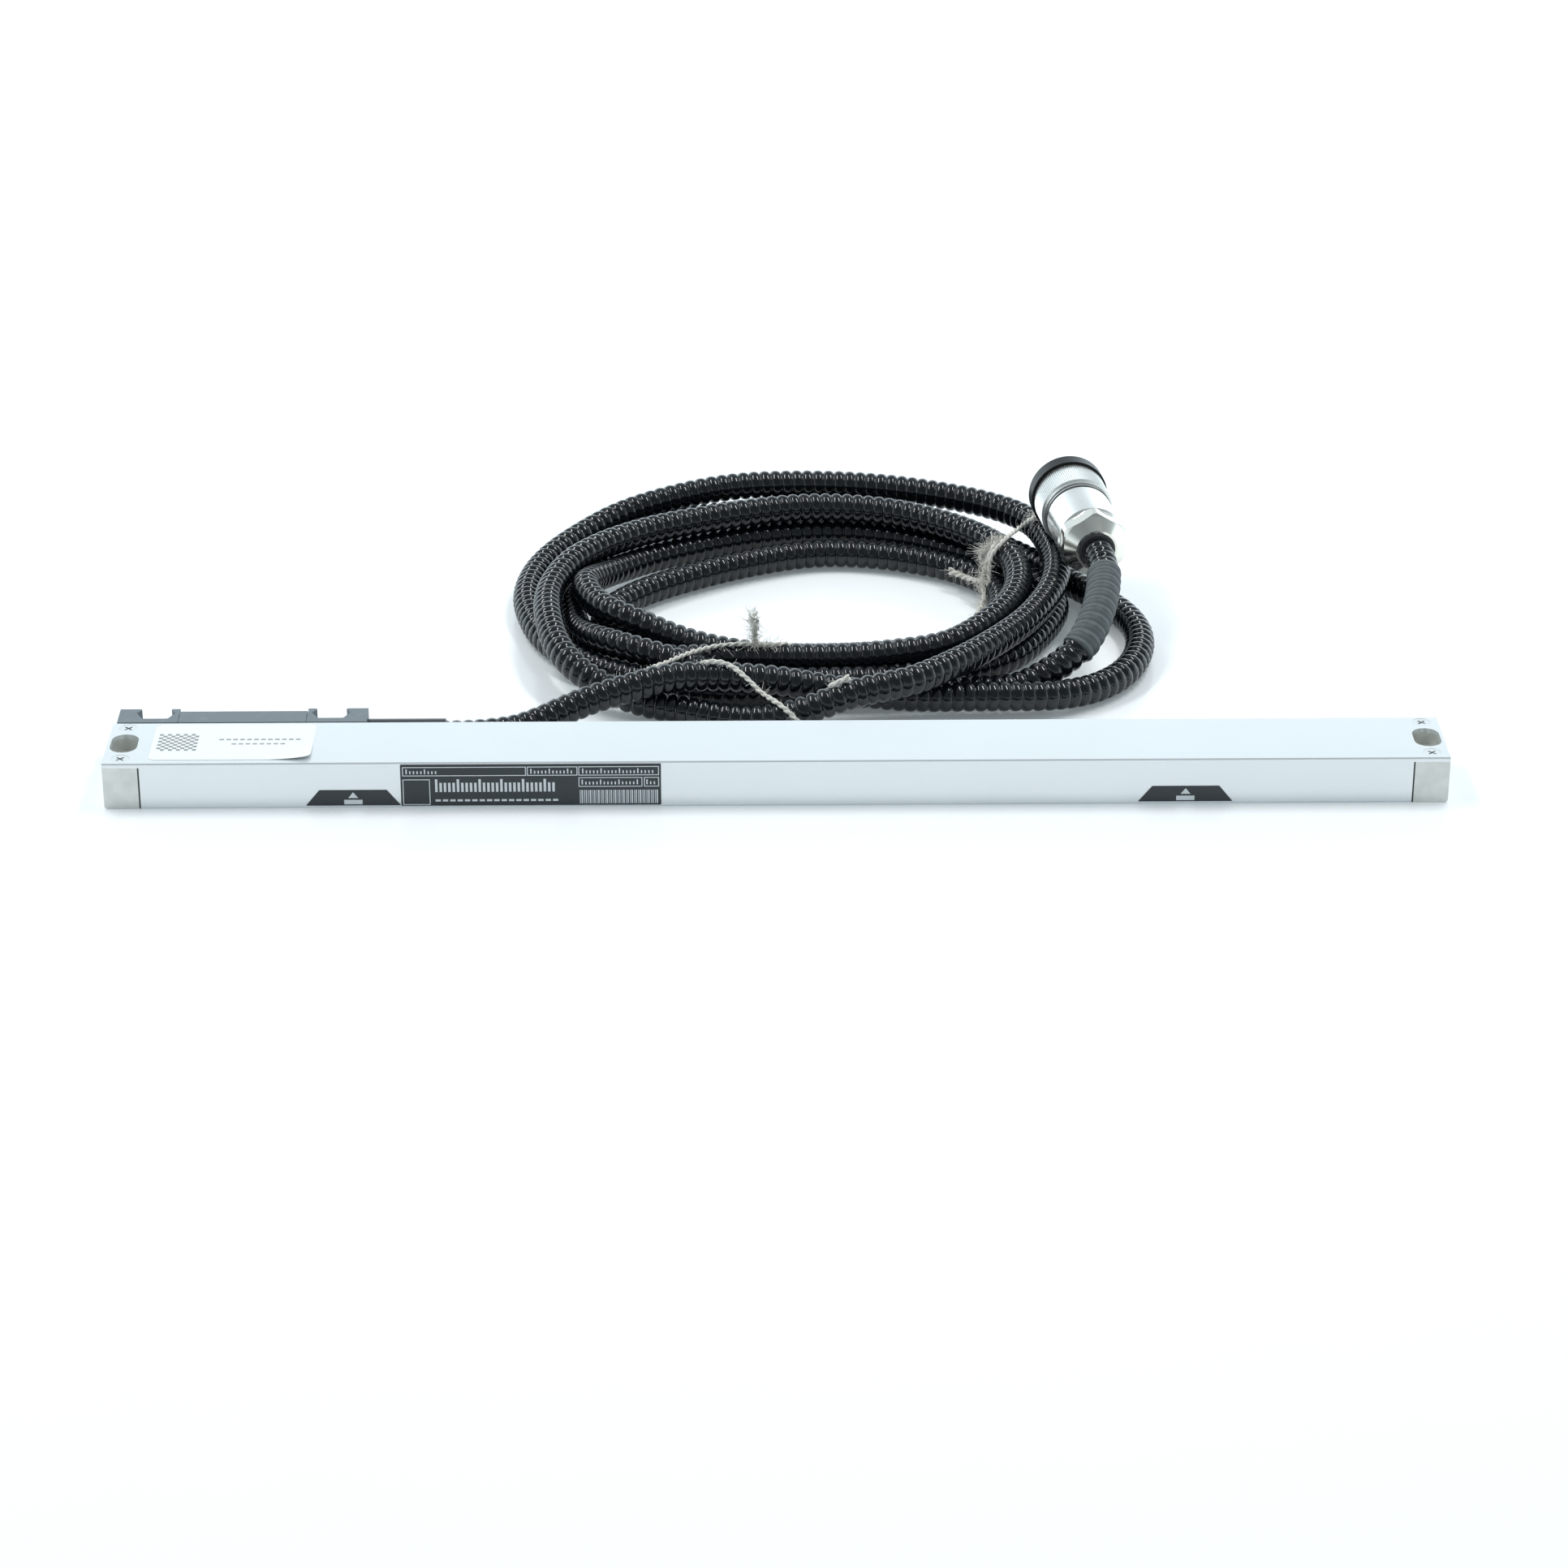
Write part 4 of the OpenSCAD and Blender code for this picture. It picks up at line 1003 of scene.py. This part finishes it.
def squares():
    """A field of small squares, of which every other one is printed."""
    left, back, size = SQUARES_LEFT, SQUARES_BACK, SQUARE
    return [
        (left + size * i, back - size * (j + 1), left + size * (i + 1), back - size * j)
        for i in range(SQUARES)
        for j in range(SQUARES)
        if (i + j) % 2 == 0
    ]


def plate_marks():
    """The type plate's frames, ticks, dashes and bars, from its left edge."""
    marks = [bar for edges in PLATE_FRAMES for bar in outlined(*edges)]
    marks += [bar for row in TICK_ROWS for bar in ticks(*row)]
    marks += ticks(*BIG_TICKS, short=0.72)
    marks += dashes(*PLATE_DASHES)
    place = BARS_LEFT
    for i in range(BARS):
        width = BAR_WIDTHS[i % len(BAR_WIDTHS)]
        marks.append((place, BARS_LOW, place + width, BARS_HIGH))
        place += width + BAR_GAPS[i % len(BAR_GAPS)]
    return [(PLATE[0] + a, b, PLATE[0] + c, d) for a, b, c, d in marks]


class SCALE_OT_labels(bpy.types.Operator):
    """Make the black plate and reference marks on the front, and the paper label on top"""

    bl_idname = "glass_scale.labels"
    bl_label = "Labels"

    def execute(self, context):
        housing = context.scene.glass_scale_housing
        low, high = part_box("housing_extrusion")
        film_coat = label_film("label_film_black", housing.label)
        ink = label_film("label_ink_light", housing.ink, 0.45)
        front = Matrix.Translation((0.0, low[1], 0.0)) @ Matrix.Rotation(math.pi / 2, 4, "X")
        top = Matrix.Translation((0.0, 0.0, high[2]))
        lift = Matrix.Translation((0.0, 0.0, housing.label_thickness))

        plate = film(rectangle(*PLATE), housing.label_thickness, 0.3)
        self.fit(plate, front, "type_plate", film_coat, "cap_plastic")
        self.fit(printed(plate_marks()), front @ lift, "type_plate_print", ink, "anodised_aluminium")
        for side, x in zip(("left", "right"), REFERENCE_X):
            foot, head = REFERENCE_BASE / 2, REFERENCE_TOP / 2
            outline = [
                (x - foot, REFERENCE_LOW), (x + foot, REFERENCE_LOW),
                (x + head, REFERENCE_LOW + REFERENCE_HEIGHT),
                (x - head, REFERENCE_LOW + REFERENCE_HEIGHT),
            ]
            name = f"reference_mark_{side}"
            self.fit(
                film(outline, housing.label_thickness, 0.25), front, name, film_coat, "cap_plastic"
            )
            left, base, right, crown = REFERENCE_BAR
            bar = printed([(x + left, base, x + right, crown)])
            self.fit(bar, front @ lift, f"{name}_bar", ink, "anodised_aluminium")
            arrow = film([(x + away, up) for away, up in REFERENCE_ARROW], INK, 0.05)
            self.fit(arrow, front @ lift, f"{name}_arrow", ink, "anodised_aluminium")
        self.paper_label(housing, top)
        return {"FINISHED"}

    def fit(self, bm, place, name, material, slot):
        """Puts a flat piece in its place on the housing."""
        bmesh.ops.transform(bm, matrix=place, verts=bm.verts)
        return piece_from(bm, name, material, "housing", smooth=False)

    def paper_label(self, housing, top):
        """Lays the paper label down, with its front right corner lifting off."""
        away = Vector((1.0, -1.0, 0.0)).normalized()
        tip = Vector((PAPER[2], PAPER[1], 0.0)) * MM
        fold = PAPER_FOLD * MM
        shares = np.linspace(0.15, 1.0, PAPER_FOLDS)
        cuts = [(tip - away * fold * share, away) for share in shares]
        bm = film(rectangle(*PAPER), housing.label_thickness, 2.2, cuts)
        for vert in bm.verts:
            past = (vert.co - tip).dot(away) + fold
            if past > 0.0:
                vert.co.z += PAPER_LIFT * MM * (past / fold) ** 2
        self.fit(bm, top, "paper_label", paper(housing.paper), "elastic_bond")
        marks = squares() + [dash for row in PAPER_DASHES for dash in dashes(*row)]
        lift = Matrix.Translation((0.0, 0.0, housing.label_thickness))
        grey = label_film("label_ink_grey", shade(housing.ink, 0.35), 0.5)
        self.fit(printed(marks), top @ lift, "paper_label_print", grey, "anodised_aluminium")


# ---------------------------------------------------------------- finishes of the CAD nodes


class SCALE_OT_housing_finish(bpy.types.Operator):
    """Finish the housing, its end blocks, screws, gaskets, lips and glass"""

    bl_idname = "glass_scale.housing_finish"
    bl_label = "Housing finish"

    def execute(self, context):
        housing = context.scene.glass_scale_housing
        coat_node(anodised_skin(housing.skin), "housing_extrusion")
        coat_node(cast_alloy(housing.block), "end_block_left", "end_block_right")
        coat_node(
            turned_metal("screw_zinc", (0.86, 0.87, 0.87), 0.24, 1500.0, 0.4), "end_block_screws"
        )
        coat_node(rubber("gasket_rubber", (0.045, 0.045, 0.047)), "end_gaskets")
        coat_node(
            rubber("lip_rubber", (0.02, 0.02, 0.022), 0.5), "sealing_lip_upper", "sealing_lip_lower"
        )
        coat_node(graduated_glass(), "glass_scale")
        coat_node(moulded("scale_bond_silicone", (0.62, 0.60, 0.52), 0.5), "scale_bond")
        return {"FINISHED"}


class SCALE_OT_unit_finish(bpy.types.Operator):
    """Finish the scanning carriage, its optics, bearings and boards, and the mounting block"""

    bl_idname = "glass_scale.unit_finish"
    bl_label = "Scanning unit finish"

    def execute(self, context):
        housing = context.scene.glass_scale_housing
        coat_node(
            turned_metal("carriage_machined", (0.42, 0.45, 0.47), 0.34), "scanning_carriage"
        )
        steel = turned_metal("bearing_steel_ground", (0.60, 0.61, 0.62), 0.16, 1800.0, 0.2)
        rollers = [f"{kind}_bearing_{s}" for kind in ("face", "edge") for s in ("left", "right")]
        coat_node(steel, *rollers)
        spring = turned_metal("spring_steel_bright", (0.50, 0.51, 0.53), 0.22, 1600.0, 0.3)
        coat_node(spring, "bearing_pins", "coupling_blade", "coupling_rod")
        coat_node(moulded("lamp_resin_body", (0.82, 0.62, 0.22), 0.2), "light_source")
        coat_node(clear_lens(), "condenser_lens")
        coat_node(graduated_glass(), "scanning_reticle")
        coat_node(circuit_board(), "photocell_board", "connection_board")
        coat_node(moulded("silicon_cell", (0.03, 0.04, 0.09), 0.12), "photocells")
        coat_node(moulded("lead_film_tape", (0.42, 0.24, 0.06), 0.35), "signal_lead")
        coat_node(block_paint(housing.paint), "mounting_block", "block_cover")
        coat_node(rubber("cover_gasket_rubber", (0.02, 0.02, 0.022)), "cover_gasket")
        coat_node(turned_metal("ferrule_brass", (0.72, 0.52, 0.22), 0.25), "conduit_ferrule")
        coat_node(moulded("outlet_sleeve_plastic", (0.018, 0.021, 0.024), 0.28), "outlet_sleeve")
        return {"FINISHED"}


class SCALE_OT_connector_finish(bpy.types.Operator):
    """Finish the connector: gland seal, clamp nut, barrel, O-ring, insert, pins, ring and cap"""

    bl_idname = "glass_scale.connector_finish"
    bl_label = "Connector finish"

    def execute(self, context):
        nickel = turned_metal("barrel_nickel_plate", (0.97, 0.965, 0.935), 0.20, 900.0, 0.15)
        coat_node(nickel, "connector_barrel")
        coat_node(turned_metal("nut_nickel_plate", (0.86, 0.85, 0.78), 0.13, 900.0, 0.2), "clamp_nut")
        ring = turned_metal("ring_nickel_plate", (0.90, 0.90, 0.88), 0.22, 1500.0, 0.2)
        coat_node(ring, "coupling_ring")
        coat_node(rubber("gland_rubber", (0.02, 0.021, 0.023), 0.5), "gland_seal", "barrel_o_ring")
        coat_node(moulded("insert_plastic", (0.06, 0.06, 0.062), 0.4), "connector_insert")
        coat_node(turned_metal("contact_gold_plate", (0.85, 0.62, 0.25), 0.15), "contact_pins")
        coat_node(moulded("cap_black_plastic", (0.005, 0.006, 0.007), 0.30, 0.3), "dust_cap")
        return {"FINISHED"}


# ---------------------------------------------------------------- stage


CAMERA_TARGET = Vector((1.87, -20.375, 7.18)) * MM
CAMERA_YAW = math.radians(1.016)
CAMERA_HEIGHT = math.radians(25.427)
CAMERA_ROLL = math.radians(0.149)
CAMERA_DISTANCE = 1.3022
CAMERA_LENS = 99.65

# Each lamp: its width and depth, its power and its place.
LAMPS = {
    "lamp_left": ((1.0, 0.15), 8.6, (-0.72, 0.30, 1.35)),
    "lamp_right": ((0.8, 0.15), 7.4, (0.55, 0.30, 1.35)),
}
LAMP_AIM = (0.0, 0.08, 0.0)


def lamp(name, size, power, place, aim):
    """A soft oblong lamp, given as width and depth, that faces a point."""
    data = bpy.data.lights.new(name, "AREA")
    data.shape = "RECTANGLE"
    data.size, data.size_y = size
    data.energy = power
    thing = bpy.data.objects.new(name, data)
    bpy.context.scene.collection.objects.link(thing)
    turn = (Vector(aim) - Vector(place)).to_track_quat("-Z", "Y").to_matrix()
    thing.matrix_world = Matrix.Translation(place) @ turn.to_4x4()


class SCALE_OT_stage(bpy.types.Operator):
    """Set up the floor, the lamps, the sky and the camera"""

    bl_idname = "glass_scale.stage"
    bl_label = "Stage"

    def execute(self, context):
        stage = context.scene.glass_scale_stage
        bm = bmesh.new()
        bmesh.ops.create_grid(bm, x_segments=2, y_segments=2, size=stage.floor_size / 2)
        mesh = bpy.data.meshes.new("stage_floor")
        bm.to_mesh(mesh)
        bm.free()
        mesh.materials.append(stage_floor(stage.floor))
        floor = bpy.data.objects.new("stage_floor", mesh)
        context.scene.collection.objects.link(floor)
        context.scene.view_settings.view_transform = "Standard"
        self.light(context, stage.level)
        self.camera(context)
        return {"FINISHED"}

    def light(self, context, level):
        context.scene.world = studio_sky(level)
        for name, (size, power, place) in LAMPS.items():
            lamp(name, size, power * level, place, LAMP_AIM)

    def camera(self, context):
        yaw, height = CAMERA_YAW, CAMERA_HEIGHT
        ahead = Vector(
            (math.sin(yaw) * math.cos(height), math.cos(yaw) * math.cos(height), -math.sin(height))
        )
        right = Vector((math.cos(yaw), -math.sin(yaw), 0.0))
        up = right.cross(ahead)
        data = bpy.data.cameras.new("camera")
        data.lens = CAMERA_LENS
        data.sensor_width = 36.0
        data.clip_end = 50.0
        camera = bpy.data.objects.new("camera", data)
        context.scene.collection.objects.link(camera)
        turn = Matrix((right, up, -ahead)).transposed()
        roll = Matrix.Rotation(CAMERA_ROLL, 3, "Z")
        place = Matrix.Translation(CAMERA_TARGET - ahead * CAMERA_DISTANCE)
        camera.matrix_world = place @ (turn @ roll).to_4x4()
        context.scene.camera = camera


# ---------------------------------------------------------------- panel and main


OPERATORS = (
    SCALE_OT_ties,
    SCALE_OT_conduit,
    SCALE_OT_labels,
    SCALE_OT_housing_finish,
    SCALE_OT_unit_finish,
    SCALE_OT_connector_finish,
    SCALE_OT_stage,
)

GROUPS = {
    "glass_scale_cable": SCALE_PG_cable,
    "glass_scale_housing": SCALE_PG_housing,
    "glass_scale_stage": SCALE_PG_stage,
}


class SCALE_PT_panel(bpy.types.Panel):
    """Lists the sizes and colours, and the steps in order"""

    bl_idname = "SCALE_PT_panel"
    bl_label = "Glass Scale"
    bl_space_type = "VIEW_3D"
    bl_region_type = "UI"
    bl_category = "Glass Scale"

    def draw(self, context):
        for name in GROUPS:
            group = getattr(context.scene, name)
            box = self.layout.box()
            for field in group.__annotations__:
                box.prop(group, field)
        for operator in OPERATORS:
            self.layout.operator(operator.bl_idname)


def register():
    for cls in (*GROUPS.values(), *OPERATORS, SCALE_PT_panel):
        bpy.utils.register_class(cls)
    for name, cls in GROUPS.items():
        setattr(bpy.types.Scene, name, bpy.props.PointerProperty(type=cls))


def unregister():
    for name in GROUPS:
        delattr(bpy.types.Scene, name)
    for cls in reversed((*GROUPS.values(), *OPERATORS, SCALE_PT_panel)):
        bpy.utils.unregister_class(cls)


def main():
    register()
    bpy.ops.glass_scale.ties()
    bpy.ops.glass_scale.conduit()
    bpy.ops.glass_scale.labels()
    bpy.ops.glass_scale.housing_finish()
    bpy.ops.glass_scale.unit_finish()
    bpy.ops.glass_scale.connector_finish()
    bpy.ops.glass_scale.stage()


if __name__ == "__main__":
    main()
